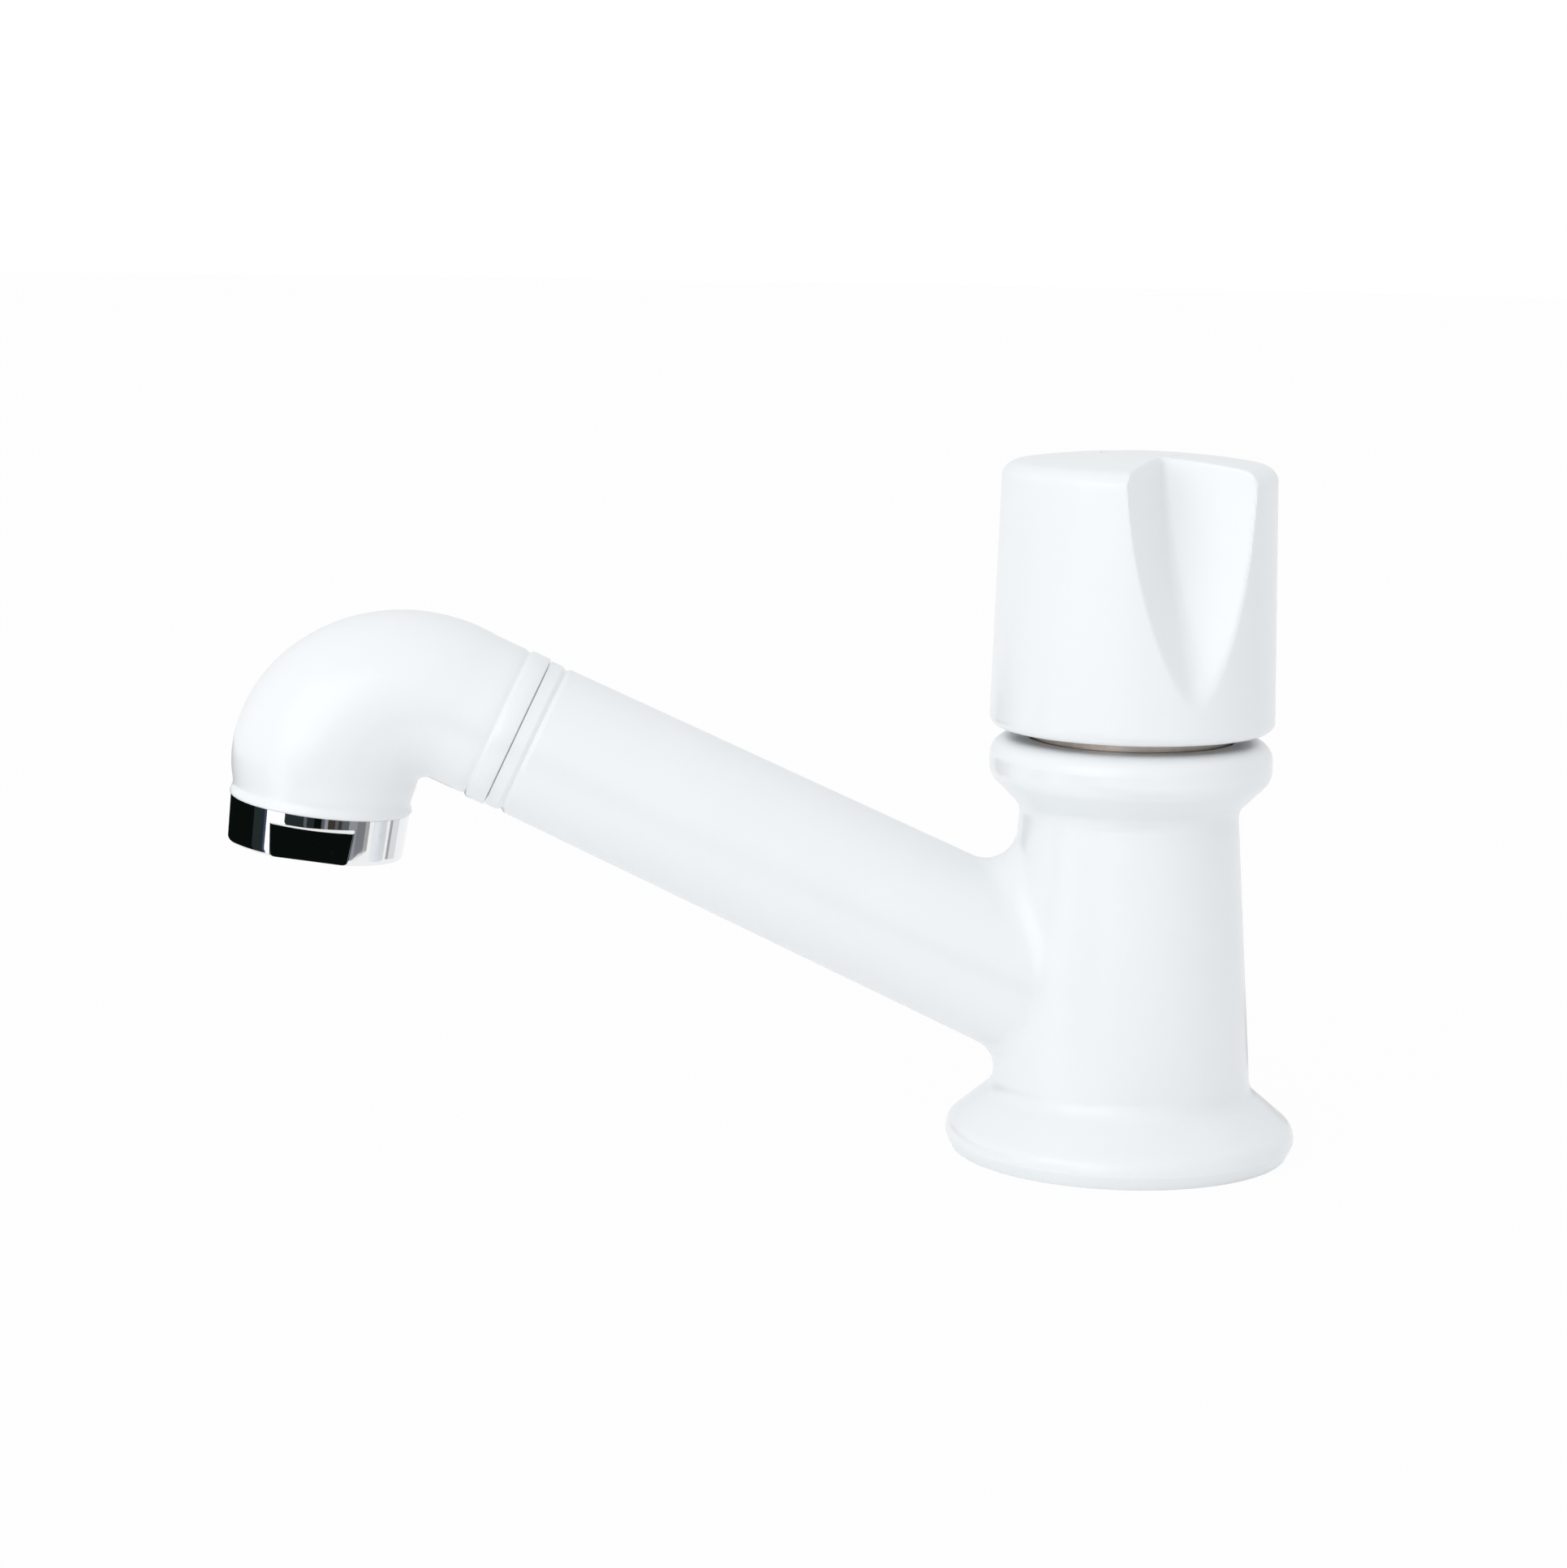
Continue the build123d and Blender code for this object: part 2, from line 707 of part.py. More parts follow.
def elbow_outside():
    """The elbow's skin: a loft through circles whose inner sides lie on one small arc."""
    swells = [0, bend_quarter_swell, bend_middle_swell, bend_three_quarter_swell, bend_end_swell]
    circles = []
    for step, swell in enumerate(swells):
        radius = arm_end_radius + swell
        angle = bend_turn_deg * step / (len(swells) - 1)
        station = Plane(origin=bend_middle(angle, radius), x_dir=(0, -1, 0), z_dir=bend_heading(angle))
        circles.append(station * Circle(radius))
    bend = loft(circles)
    collar_end = collar_face + elbow_collar_width
    neck = rod(arm_end_radius, collar_end, bend_start)
    collar = rod(elbow_collar_radius, collar_face, collar_end)
    outlet = turned([
        (0, -outlet_length),
        (bend_end_radius, -outlet_length),
        (outlet_radius, -lip_height),
        (outlet_radius + lip_flare, -lip_edge_height),
        (outlet_radius + lip_flare, 0),
        (0, 0),
    ])
    skin = bend + arm_frame.location * (neck + collar)
    skin -= arm_frame.location * band_line(collar_end, elbow_collar_radius)
    return skin + outlet_frame.location * outlet


def make_spout_elbow():
    """Swivelling elbow with its spigot for the arm and its threaded nose for the aerator."""
    spigot_radius = arm_socket_radius - turning_clearance
    spigot_end = collar_face - spigot_length
    spigot = rod(spigot_radius, spigot_end, collar_face)
    for distance in swivel_ring_distances():
        low = distance - ring_groove_width / 2
        spigot -= tube(ring_root(arm_socket_radius), arm_socket_radius, low, low + ring_groove_width)
    clip_middle = arm_length - swivel_clip_distance
    half = swivel_clip_thickness / 2 + clip_side_gap
    groove_root = spigot_radius - swivel_clip_depth
    spigot -= tube(groove_root, arm_socket_radius, clip_middle - half, clip_middle + half)
    nose = rod(aerator_spigot_radius, 0, aerator_spigot_length)
    elbow = elbow_outside() + arm_frame.location * spigot + outlet_frame.location * nose
    elbow -= arm_frame.location * rod(spigot_bore_radius, spigot_end, bend_start)
    outlet_way = rod(aerator_spigot_bore, -outlet_length, aerator_spigot_length)
    return elbow - bend_way() - outlet_frame.location * outlet_way


def bend_way():
    """The water way round the bend, from the spigot's bore to the outlet's."""
    stations = [
        (spigot_bore_radius, 0),
        (elbow_bore_radius, bend_quarter_swell),
        (elbow_bore_radius, bend_three_quarter_swell),
        (aerator_spigot_bore, bend_end_swell),
    ]
    circles = []
    for step, (radius, swell) in enumerate(stations):
        angle = bend_turn_deg * step / (len(stations) - 1)
        tube_radius = arm_end_radius + swell
        station = Plane(origin=bend_middle(angle, tube_radius), x_dir=(0, -1, 0), z_dir=bend_heading(angle))
        circles.append(station * Circle(radius))
    return loft(circles)


def swivel_ring_distances():
    """Distances along the arm of the two rubber rings on the elbow's spigot."""
    first = arm_length - swivel_ring_first
    return [first, first - ring_pitch]


def make_swivel_o_rings():
    """The two rubber rings that seal the swivel."""
    inner = ring_root(arm_socket_radius) + ring_squeeze_gap
    outer = arm_socket_radius - ring_squeeze_gap
    return [arm_frame.location * o_ring(inner, outer, distance) for distance in swivel_ring_distances()]


def make_swivel_clip():
    """Split ring that locks the spigot in the arm and lets it turn."""
    middle = arm_length - swivel_clip_distance
    half = swivel_clip_thickness / 2
    inner = arm_socket_radius - turning_clearance - swivel_clip_depth + clip_root_gap
    outer = arm_socket_radius + swivel_clip_reach
    return arm_frame.location * split_ring(inner, outer, middle - half, middle + half, swivel_clip_opening)


def make_aerator_housing():
    """Plated ring that screws over the elbow's nose, with two spanner flats."""
    thread_bore = aerator_spigot_radius + thread_clearance
    top = housing_top_radius
    low = housing_low_radius
    outside = turned([(0, 0), (top, 0), (low, housing_height), (0, housing_height)])
    outside = fillet(outside.edges().sort_by(Axis.Z)[-1], housing_low_round)
    ring = outside - rod(thread_bore, 0, insert_flange_low)
    ring -= rod(housing_mouth_radius, insert_flange_low, housing_height)
    beside = (Align.CENTER, Align.MIN, Align.MIN)
    block = Box(4 * top, top, housing_height - housing_flat_start, align=beside)
    for turn in (0, 180):
        ring -= Rot(0, 0, turn) * Pos(0, housing_flat_across / 2, housing_flat_start) * block
    return outlet_frame.location * ring


def make_aerator_washer():
    """Rubber washer between the elbow's nose and the insert's flange."""
    inner = aerator_spigot_bore + gasket_side_gap
    ring = tube(inner, aerator_spigot_radius, aerator_spigot_length, insert_flange_high)
    return outlet_frame.location * ring


def make_aerator_insert():
    """Cup that carries the screens and the grid, hung by its flange."""
    insert = rod(insert_body_radius, insert_low - insert_height, insert_flange_low)
    insert += rod(aerator_spigot_radius - gasket_side_gap, insert_flange_high, insert_flange_low)
    insert += rod(insert_body_radius, insert_flange_low, insert_low)
    bore = insert_body_radius - insert_wall
    insert -= rod(bore, insert_low - insert_height, insert_low)
    return outlet_frame.location * insert


def make_aerator_screen():
    """Two fine strainer discs inside the insert."""
    bore = insert_body_radius - insert_wall
    first = insert_low - insert_height + screen_depth
    discs = []
    for low in (first, first + screen_depth + screen_thickness):
        discs.append(outlet_frame.location * rod(bore, low, low + screen_thickness))
    return discs


def make_aerator_grid():
    """Honeycomb grid at the mouth of the insert."""
    grid = rod(insert_body_radius - insert_wall, insert_low - grid_thickness, insert_low)
    holes = []
    for column in range(-grid_rings, grid_rings + 1):
        for row in range(-grid_rings, grid_rings + 1):
            if abs(column + row) <= grid_rings:
                x = grid_pitch * (column + row / 2)
                y = grid_pitch * row * sin(radians(60))
                holes.append(Pos(x, y, 0) * rod(grid_hole_radius, insert_low - grid_thickness, insert_low))
    return outlet_frame.location * (grid - holes)


pieces = {
    "body_shell": make_body_shell,
    "deck_gasket": make_deck_gasket,
    "inlet_riser": make_inlet_riser,
    "riser_seal": make_riser_seal,
    "deck_washer": make_deck_washer,
    "backnut": make_backnut,
    "bonnet": make_bonnet,
    "bonnet_gasket": make_bonnet_gasket,
    "spindle": make_spindle,
    "spindle_o_rings": make_spindle_o_rings,
    "spindle_clip": make_spindle_clip,
    "plunger": make_plunger,
    "seat_washer": make_seat_washer,
    "washer_screw": make_washer_screw,
    "knob": make_knob,
    "knob_cap": make_knob_cap,
    "knob_screw": make_knob_screw,
    "spout_elbow": make_spout_elbow,
    "swivel_o_rings": make_swivel_o_rings,
    "swivel_clip": make_swivel_clip,
    "aerator_housing": make_aerator_housing,
    "aerator_washer": make_aerator_washer,
    "aerator_insert": make_aerator_insert,
    "aerator_screen": make_aerator_screen,
    "aerator_grid": make_aerator_grid,
}

os.makedirs("parts", exist_ok=True)
for name, make in pieces.items():
    piece = make()
    if isinstance(piece, list):
        piece = Compound(children=piece)
    export_step(piece, f"parts/{name}.step")
    print(name, round(piece.volume, 1))
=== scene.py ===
import logging
import math
from dataclasses import dataclass
from enum import Enum
from functools import partial, reduce

import bmesh
import bpy
import numpy as np
from mathutils import Matrix, Vector


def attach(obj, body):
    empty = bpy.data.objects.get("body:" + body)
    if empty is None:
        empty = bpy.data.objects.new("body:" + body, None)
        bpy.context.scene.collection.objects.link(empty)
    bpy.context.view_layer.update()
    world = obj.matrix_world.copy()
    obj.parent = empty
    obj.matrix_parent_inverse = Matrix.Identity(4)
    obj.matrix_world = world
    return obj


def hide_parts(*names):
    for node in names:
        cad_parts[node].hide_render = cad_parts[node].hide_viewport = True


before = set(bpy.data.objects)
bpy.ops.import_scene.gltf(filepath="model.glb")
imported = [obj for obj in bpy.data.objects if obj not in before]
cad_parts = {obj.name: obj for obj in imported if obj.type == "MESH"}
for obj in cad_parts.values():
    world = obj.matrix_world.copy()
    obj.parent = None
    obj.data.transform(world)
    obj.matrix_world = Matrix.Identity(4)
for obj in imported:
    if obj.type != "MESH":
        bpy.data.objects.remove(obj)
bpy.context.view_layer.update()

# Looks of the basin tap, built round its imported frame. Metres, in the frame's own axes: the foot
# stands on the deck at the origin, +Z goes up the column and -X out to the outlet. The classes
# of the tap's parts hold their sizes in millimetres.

LOG = logging.getLogger("basin_tap")
MM = 0.001
TURN = 2 * math.pi
UPRIGHT = Matrix.Identity(4)

# Places of the share and the colours among the Mix node's inputs, and of its mixed colour.
MIX_INPUTS = (0, 6, 7)
MIX_OUTPUT = 2

Triple = tuple[float, float, float]
Span = tuple[float, float]
Profile = tuple[Span, ...]
Number = float | np.ndarray
Row = tuple[Number, Number]
Socket = bpy.types.NodeSocket
Outputs = bpy.types.bpy_prop_collection
Tree = bpy.types.NodeTree
Material = bpy.types.Material
Piece = bpy.types.Object


class Bodies(Enum):
    """The rigid bodies that pieces ride on."""

    BODY = "body"
    KNOB = "knob"
    ELBOW = "elbow"


class Slots(Enum):
    """The material slots of the record."""

    WHITE = "white_plastic"
    SHANK = "shank_plastic"
    NUT = "nut_plastic"
    RUBBER = "black_rubber"
    SEAT = "seat_rubber"
    BRASS = "brass"
    STEEL = "steel"
    CLIP = "clip_plastic"
    CHROME = "chrome"
    INSERT = "insert_plastic"


class Sheet:
    """A node tree under construction, with short calls to place and join its nodes."""

    def __init__(self, tree: Tree) -> None:
        """Empty the tree that the nodes go into."""
        self.tree = tree
        tree.nodes.clear()

    def feed(self, socket: Socket, value: object) -> None:
        """Give an input a value, or join it to an output.

        Args:
            socket: the input.
            value: a number, a colour or an output.
        """
        if isinstance(value, Socket):
            self.tree.links.new(value, socket)
        else:
            socket.default_value = value

    def add(
        self, kind: str, *values: object, settings: dict[str, object] | None = None, **inputs: object
    ) -> Outputs:
        """Place one node.

        Args:
            kind: Blender's name of the shader node, less the word ShaderNode.
            values: what its first inputs take, in order.
            settings: properties to set on the node itself.
            inputs: what other inputs take, by name with underscores for spaces.

        Returns:
            The node's outputs.
        """
        node = self.tree.nodes.new("ShaderNode" + kind)
        for name, value in (settings or {}).items():
            setattr(node, name, value)
        for socket, value in zip(node.inputs, values):
            self.feed(socket, value)
        for name, value in inputs.items():
            self.feed(node.inputs[name.replace("_", " ")], value)
        return node.outputs

    def effect(self, group: Tree, **inputs: object) -> Outputs:
        """Place a shared effect with its own values."""
        return self.add("Group", settings={"node_tree": group}, **inputs)

    def math(self, operation: str, *values: object) -> Socket:
        """Work on numbers with one Math node."""
        return self.add("Math", *values, settings={"operation": operation})[0]

    def times(self, *values: object) -> Socket:
        """Multiply two numbers or more."""
        return reduce(partial(self.math, "MULTIPLY"), values)

    def plus(self, *values: object) -> Socket:
        """Add two numbers or more."""
        return reduce(partial(self.math, "ADD"), values)

    def ramp(self, value: Socket, edges: Span, ends: Span = (0.0, 1.0)) -> Socket:
        """Map a value by a smooth step that begins and ends at the edges, from one end to the other."""
        return self.add("MapRange", value, *edges, *ends, settings={"interpolation_type": "SMOOTHSTEP"})[0]

    def here(self) -> Socket:
        """The place on the piece, on its own axes."""
        return self.add("TexCoord")["Object"]

    def noise(self, where: Socket, scale: object, detail: float) -> Socket:
        """A fractal noise value at a place."""
        return self.add("TexNoise", Vector=where, Scale=scale, Detail=detail)[0]

    def blend(self, share: Socket, first: object, second: object) -> Socket:
        """Mix two colours.

        Args:
            share: how much of the second colour there is.
            first: one colour.
            second: the other.

        Returns:
            The mixed colour.
        """
        node = self.tree.nodes.new("ShaderNodeMix")
        node.data_type = "RGBA"
        for place, value in zip(MIX_INPUTS, (share, first, second)):
            self.feed(node.inputs[place], value)
        return node.outputs[MIX_OUTPUT]


class Group(Sheet):
    """A shader node group under construction, with the sockets that it is given."""

    def __init__(self, name: str, inputs: dict[str, float | tuple]) -> None:
        """Start the group with its inputs.

        Args:
            name: the group's name.
            inputs: default values by input name; a tuple makes a colour.
        """
        super().__init__(bpy.data.node_groups.new(name, "ShaderNodeTree"))
        for label, value in inputs.items():
            kind = "NodeSocketColor" if isinstance(value, tuple) else "NodeSocketFloat"
            self.tree.interface.new_socket(label, in_out="INPUT", socket_type=kind).default_value = value
        start = self.tree.nodes.new("NodeGroupInput")
        self.given = {label: start.outputs[label] for label in inputs}

    def close(self, **outputs: Socket) -> Tree:
        """Give the group its outputs.

        Args:
            outputs: what each output shows, by its name.

        Returns:
            The finished tree.
        """
        for label, socket in outputs.items():
            kind = "NodeSocketColor" if socket.type == "RGBA" else "NodeSocketFloat"
            self.tree.interface.new_socket(label, in_out="OUTPUT", socket_type=kind)
        end = self.tree.nodes.new("NodeGroupOutput")
        for label, socket in outputs.items():
            self.feed(end.inputs[label], socket)
        return self.tree


@dataclass
class Effects:
    """The shader node groups that several finishes share, each made once.

    A noise's scale is in cycles a metre, and edges are where a smooth step begins and ends.
    """

    cloud_scales: Span = (38.0, 140.0)
    cloud_shares: Span = (0.7, 0.3)
    cloud_edges: Span = (0.35, 0.65)
    swell_scale: float = 90.0
    wipe_turn: Triple = (0.4, 0.3, 0.9)
    wipe_stretch: Triple = (1.0, 3.4, 1.0)
    wipe_scale: float = 38.0
    wipe_edges: Span = (0.40, 0.78)
    speck_scale: float = 260.0
    speck_edges: Span = (0.04, 0.09)
    line_scale: float = 420.0
    wear_edges: Span = (0.52, 0.60)
    wear_scale: float = 600.0
    wear_gaps: Span = (0.42, 0.62)

    def __post_init__(self) -> None:
        """Build every group."""
        self.skin = self.moulded_skin()
        self.marks = self.handling()
        self.lines = self.turned_lines()
        self.wear = self.edge_wear()

    def moulded_skin(self) -> Tree:
        """Colour drift and a fine relief, for moulded plastic, rubber and metal.

        The drift is the sum of a slow and a quicker noise, sharpened, that mixes the base colour
        towards the shade. The height adds a low swell of the mould and a grain, in millimetres.

        Returns:
            The node group.
        """
        sheet = Group("moulded_skin", {
            "Base": (1, 1, 1, 1), "Shade": (1, 1, 1, 1), "Drift": 0.5, "Swell": 0.02, "Grain": 0.004,
            "Grain Scale": 900.0,
        })
        place = sheet.here()
        slow = sheet.times(sheet.noise(place, self.cloud_scales[0], 3.0), self.cloud_shares[0])
        quick = sheet.times(sheet.noise(place, self.cloud_scales[1], 4.0), self.cloud_shares[1])
        clouds = sheet.plus(slow, quick)
        share = sheet.times(sheet.ramp(clouds, self.cloud_edges), sheet.given["Drift"])
        swell = sheet.times(sheet.noise(place, self.swell_scale, 1.0), sheet.given["Swell"])
        grain = sheet.times(sheet.noise(place, sheet.given["Grain Scale"], 2.0), sheet.given["Grain"])
        colour = sheet.blend(share, sheet.given["Base"], sheet.given["Shade"])
        return sheet.close(Color=colour, Height=sheet.plus(swell, grain))

    def handling(self) -> Tree:
        """A roughness raised here and there by faint wipe marks and dust specks.

        The wipe marks are a stretched noise kept above a threshold, and the specks are the
        middles of small scattered cells.

        Returns:
            The node group.
        """
        sheet = Group("handling", {"Rough": 0.2, "Wipe": 0.06, "Speck": 0.1})
        place = sheet.here()
        turned = sheet.add("Mapping", Vector=place, Rotation=self.wipe_turn, Scale=self.wipe_stretch)[0]
        wipe = sheet.ramp(sheet.noise(turned, self.wipe_scale, 2.0), self.wipe_edges)
        cells = sheet.add("TexVoronoi", Vector=place, Scale=self.speck_scale)["Distance"]
        speck = sheet.ramp(cells, self.speck_edges, (1.0, 0.0))
        marks = (sheet.times(wipe, sheet.given["Wipe"]), sheet.times(speck, sheet.given["Speck"]))
        return sheet.close(Roughness=sheet.plus(sheet.given["Rough"], *marks))

    def turned_lines(self) -> Tree:
        """Fine tool lines of a turned part.

        The height is a raised sine of the distance from the axis plus the height, over the
        pitch, times a noise, so that lines show on sides and on faces alike.

        Returns:
            The node group.
        """
        sheet = Group("turned_lines", {"Pitch": 0.35, "Depth": 0.004})
        place = sheet.here()
        x, y, z = sheet.add("SeparateXYZ", place)
        radius = sheet.math("SQRT", sheet.plus(sheet.math("POWER", x, 2.0), sheet.math("POWER", y, 2.0)))
        reach = sheet.times(sheet.plus(radius, z), TURN / MM)
        wave = sheet.math("SINE", sheet.math("DIVIDE", reach, sheet.given["Pitch"]))
        raised = sheet.math("MULTIPLY_ADD", wave, 0.5, 0.5)
        height = sheet.times(raised, sheet.noise(place, self.line_scale, 3.0), sheet.given["Depth"])
        return sheet.close(Height=height)

    def edge_wear(self) -> Tree:
        """Where a surface is convex and rubbed: the mesh's own pointiness, broken up by noise.

        Returns:
            The node group.
        """
        sheet = Group("edge_wear", {"Amount": 1.0})
        edge = sheet.ramp(sheet.add("NewGeometry")["Pointiness"], self.wear_edges)
        broken = sheet.ramp(sheet.noise(sheet.here(), self.wear_scale, 4.0), self.wear_gaps)
        return sheet.close(Mask=sheet.times(edge, broken, sheet.given["Amount"]))


def new_material(name: str) -> tuple[Material, Sheet]:
    """Make an empty material.

    Args:
        name: the material's name.

    Returns:
        The material and the sheet of its nodes.
    """
    material = bpy.data.materials.new(name)
    material.use_nodes = True
    return material, Sheet(material.node_tree)


class Kind(Enum):
    """What a finish is made of."""

    MOULDED = "moulded"
    METAL = "metal"


@dataclass(frozen=True)
class Finish:
    """A moulded plastic or rubber, or a metal with tarnish as its shade and fine tool lines.

    The swell, grain, line pitch and line depth are in millimetres.
    """

    name: str
    base: Triple
    shade: Triple
    rough: float
    kind: Kind = Kind.MOULDED
    drift: float = 0.5
    wipe: float = 0.05
    speck: float = 0.06
    coat: float = 0.0
    scatter: float = 0.0
    scatter_depth: float = 1.2
    swell: float = 0.01
    grain: float = 0.002
    grain_scale: float = 1400.0
    line_pitch: float = 0.3
    line_depth: float = 0.004
    worn: float = 0.5

    def make(self, effects: Effects) -> Material:
        """Build the material: the skin, the marks of handling, and a metal's wear and tool lines.

        Args:
            effects: the shared node groups.

        Returns:
            The finished material.
        """
        material, sheet = new_material(self.name)
        metal = self.kind is Kind.METAL
        skin = sheet.effect(
            effects.skin, Base=(*self.base, 1), Shade=(*self.shade, 1), Drift=self.drift,
            Swell=self.swell, Grain=self.grain, Grain_Scale=self.grain_scale,
        )
        marks = sheet.effect(effects.marks, Rough=self.rough, Wipe=self.wipe, Speck=self.speck)
        colour, height = skin["Color"], skin["Height"]
        if metal:
            worn = sheet.effect(effects.wear, Amount=self.worn)["Mask"]
            colour = sheet.blend(worn, colour, (*self.base, 1))
            height = sheet.effect(effects.lines, Pitch=self.line_pitch, Depth=self.line_depth)["Height"]
        bump = sheet.add("Bump", Strength=1.0, Distance=MM, Height=height)[0]
        surface = sheet.add(
            "BsdfPrincipled", Base_Color=colour, Roughness=marks["Roughness"], Normal=bump,
            Metallic=float(metal), Coat_Weight=self.coat, Coat_Roughness=self.rough / 2,
            Subsurface_Weight=self.scatter, Subsurface_Radius=(1.0, 1.0, 1.0),
            Subsurface_Scale=self.scatter_depth * MM,
        )
        sheet.add("OutputMaterial", surface[0])
        return material


FINISHES = {
    Slots.WHITE: Finish(
        "gloss_white", (0.900, 0.922, 0.936), (0.884, 0.905, 0.919), 0.29, wipe=0.03, speck=0.04,
        coat=0.2, scatter=0.12, swell=0.012, grain=0.0012,
    ),
    Slots.SHANK: Finish("nylon_shank", (0.80, 0.80, 0.77), (0.72, 0.71, 0.67), 0.42, grain=0.006),
    Slots.NUT: Finish("nylon_nut", (0.76, 0.77, 0.76), (0.68, 0.68, 0.66), 0.45, grain=0.008),
    Slots.RUBBER: Finish(
        "nitrile_rubber", (0.022, 0.022, 0.024), (0.05, 0.05, 0.05), 0.6, speck=0.2, grain=0.01,
    ),
    Slots.SEAT: Finish("seat_rubber", (0.14, 0.035, 0.025), (0.20, 0.06, 0.045), 0.65, grain=0.01),
    Slots.CLIP: Finish("natural_acetal", (0.72, 0.68, 0.56), (0.66, 0.60, 0.48), 0.35),
    Slots.INSERT: Finish("aerator_acetal", (0.70, 0.71, 0.70), (0.60, 0.61, 0.60), 0.38),
    # The bonnet, spindle and plunger show in the gap under the knob. Their brass gets a grey-warm base and
    # a dark shade: partly the metal's own colour, partly painted shade standing in for the shadow in that
    # gap.
    Slots.BRASS: Finish(
        "brass_greyed_as_gap_shade", (0.60, 0.54, 0.49), (0.36, 0.30, 0.25), 0.36, Kind.METAL, drift=0.7,
        speck=0.05, line_pitch=0.32, line_depth=0.006,
    ),
    Slots.STEEL: Finish(
        "bright_steel", (0.58, 0.58, 0.60), (0.46, 0.46, 0.47), 0.29, Kind.METAL, drift=0.4,
        speck=0.05, line_pitch=0.25,
    ),
    Slots.CHROME: Finish(
        "chrome_plate", (0.86, 0.87, 0.88), (0.80, 0.81, 0.83), 0.035, Kind.METAL, drift=0.4,
        wipe=0.03, speck=0.05, line_pitch=0.9, line_depth=0.0004,
    ),
}


class Wardrobe:
    """Makes each finish once and dresses pieces with it."""

    def __init__(self) -> None:
        """Build the shared effects and every material."""
        effects = Effects()
        self.materials = {slot: finish.make(effects) for slot, finish in FINISHES.items()}

    def dress(self, piece: Piece, slot: Slots) -> None:
        """Give a new piece the finish of one of the record's slots."""
        piece.data.materials.append(self.materials[slot])

    def recoat(self, node: Piece, slot: Slots) -> None:
        """Give a node of the frame its finish."""
        for holder in node.material_slots:
            holder.material = self.materials[slot]


def skin_faces(rows: int, columns: int) -> np.ndarray:
    """Faces of a grid that closes on itself both ways, each with its next column and next row.

    Args:
        rows: how many rings the grid has.
        columns: how many points each ring has.

    Returns:
        The four corner numbers of every face.
    """
    here = np.arange(rows * columns).reshape(rows, columns)
    beside, above = np.roll(here, -1, axis=1), np.roll(here, -1, axis=0)
    return np.stack([here, beside, np.roll(beside, -1, axis=0), above], axis=-1).reshape(-1, 4)


def make_mesh(name: str, points: np.ndarray, faces: np.ndarray, sharp_deg: float) -> Piece:
    """Put points and faces into a mesh object at the origin.

    The signed volume of the faces decides whether they are turned over, so that they
    point outwards.

    Args:
        name: the piece's name.
        points: corner positions in metres, one row each.
        faces: corner numbers of each four-sided face.
        sharp_deg: edges that turn by more than this stay sharp.

    Returns:
        The new object, linked to the scene.
    """
    a, b, c, d = (points[faces[:, k]] for k in range(4))
    volume = (np.cross(a, b) * c).sum() + (np.cross(a, c) * d).sum()
    if volume < 0:
        faces = faces[:, ::-1]
    mesh = bpy.data.meshes.new(name)
    mesh.vertices.add(len(points))
    mesh.vertices.foreach_set("co", points.astype(np.float32).ravel())
    mesh.loops.add(faces.size)
    mesh.loops.foreach_set("vertex_index", faces.astype(np.int32).ravel())
    mesh.polygons.add(len(faces))
    mesh.polygons.foreach_set("loop_start", np.arange(0, faces.size, 4, dtype=np.int32))
    mesh.update(calc_edges=True)
    mesh.validate()
    mesh.shade_smooth()
    mesh.set_sharp_from_angle(angle=math.radians(sharp_deg))
    piece = bpy.data.objects.new(name, mesh)
    bpy.context.scene.collection.objects.link(piece)
    return piece


def close_poles(piece: Piece) -> None:
    """Merge the points that a ring of no radius puts in one place.

    Args:
        piece: the object whose mesh is closed.
    """
    sheet = bmesh.new()
    sheet.from_mesh(piece.data)
    bmesh.ops.remove_doubles(sheet, verts=sheet.verts, dist=MM / 1000)
    sheet.to_mesh(piece.data)
    sheet.free()


def ring_skin(
    name: str, rows: list[Row], columns: int, place: Matrix = UPRIGHT, sharp_deg: float = 32.0,
    poled: bool = False,
) -> Piece:
    """A closed skin from rings about one axis.

    Each row is a ring whose radius and height are numbers, or arrays with a value for each
    angle: x = radius * cos(angle), y = radius * sin(angle), z = height.

    Args:
        name: the piece's name.
        rows: (radius, height) of each ring in millimetres, in order round the section.
        columns: how many points each ring has.
        place: the frame that the axis stands in, in metres.
        sharp_deg: edges that turn by more than this stay sharp.
        poled: the section starts and ends on the axis, where the skin closes to a point.

    Returns:
        The new object.
    """
    angle = np.arange(columns) * TURN / columns
    radius, height = (np.stack([np.broadcast_to(row[k], columns) for row in rows]) for k in (0, 1))
    local = np.stack([radius * np.cos(angle), radius * np.sin(angle), height], axis=-1).reshape(-1, 3) * MM
    points = local @ np.array(place.to_3x3()).T + np.array(place.translation)
    faces = skin_faces(len(rows), columns)
    if not poled:
        return make_mesh(name, points, faces, sharp_deg)
    piece = make_mesh(name, points, faces[:-columns], sharp_deg)
    close_poles(piece)
    return piece


def arc_rows(centre: Span, radius: float, turn_deg: Span, steps: int) -> list[Span]:
    """Points of a rounded corner: the centre plus radius times (cos, sin) of the angles of a turn."""
    angles = np.radians(np.linspace(*turn_deg, steps))
    return [(centre[0] + radius * math.cos(a), centre[1] + radius * math.sin(a)) for a in angles]


def soft_min(first: Number, second: Number, reach: float) -> np.ndarray:
    """The smaller of two values, less (reach - difference) squared / 4 reach where they come so near."""
    gap = np.clip(reach - np.abs(first - second), 0.0, None)
    return np.minimum(first, second) - gap**2 / (4 * reach)


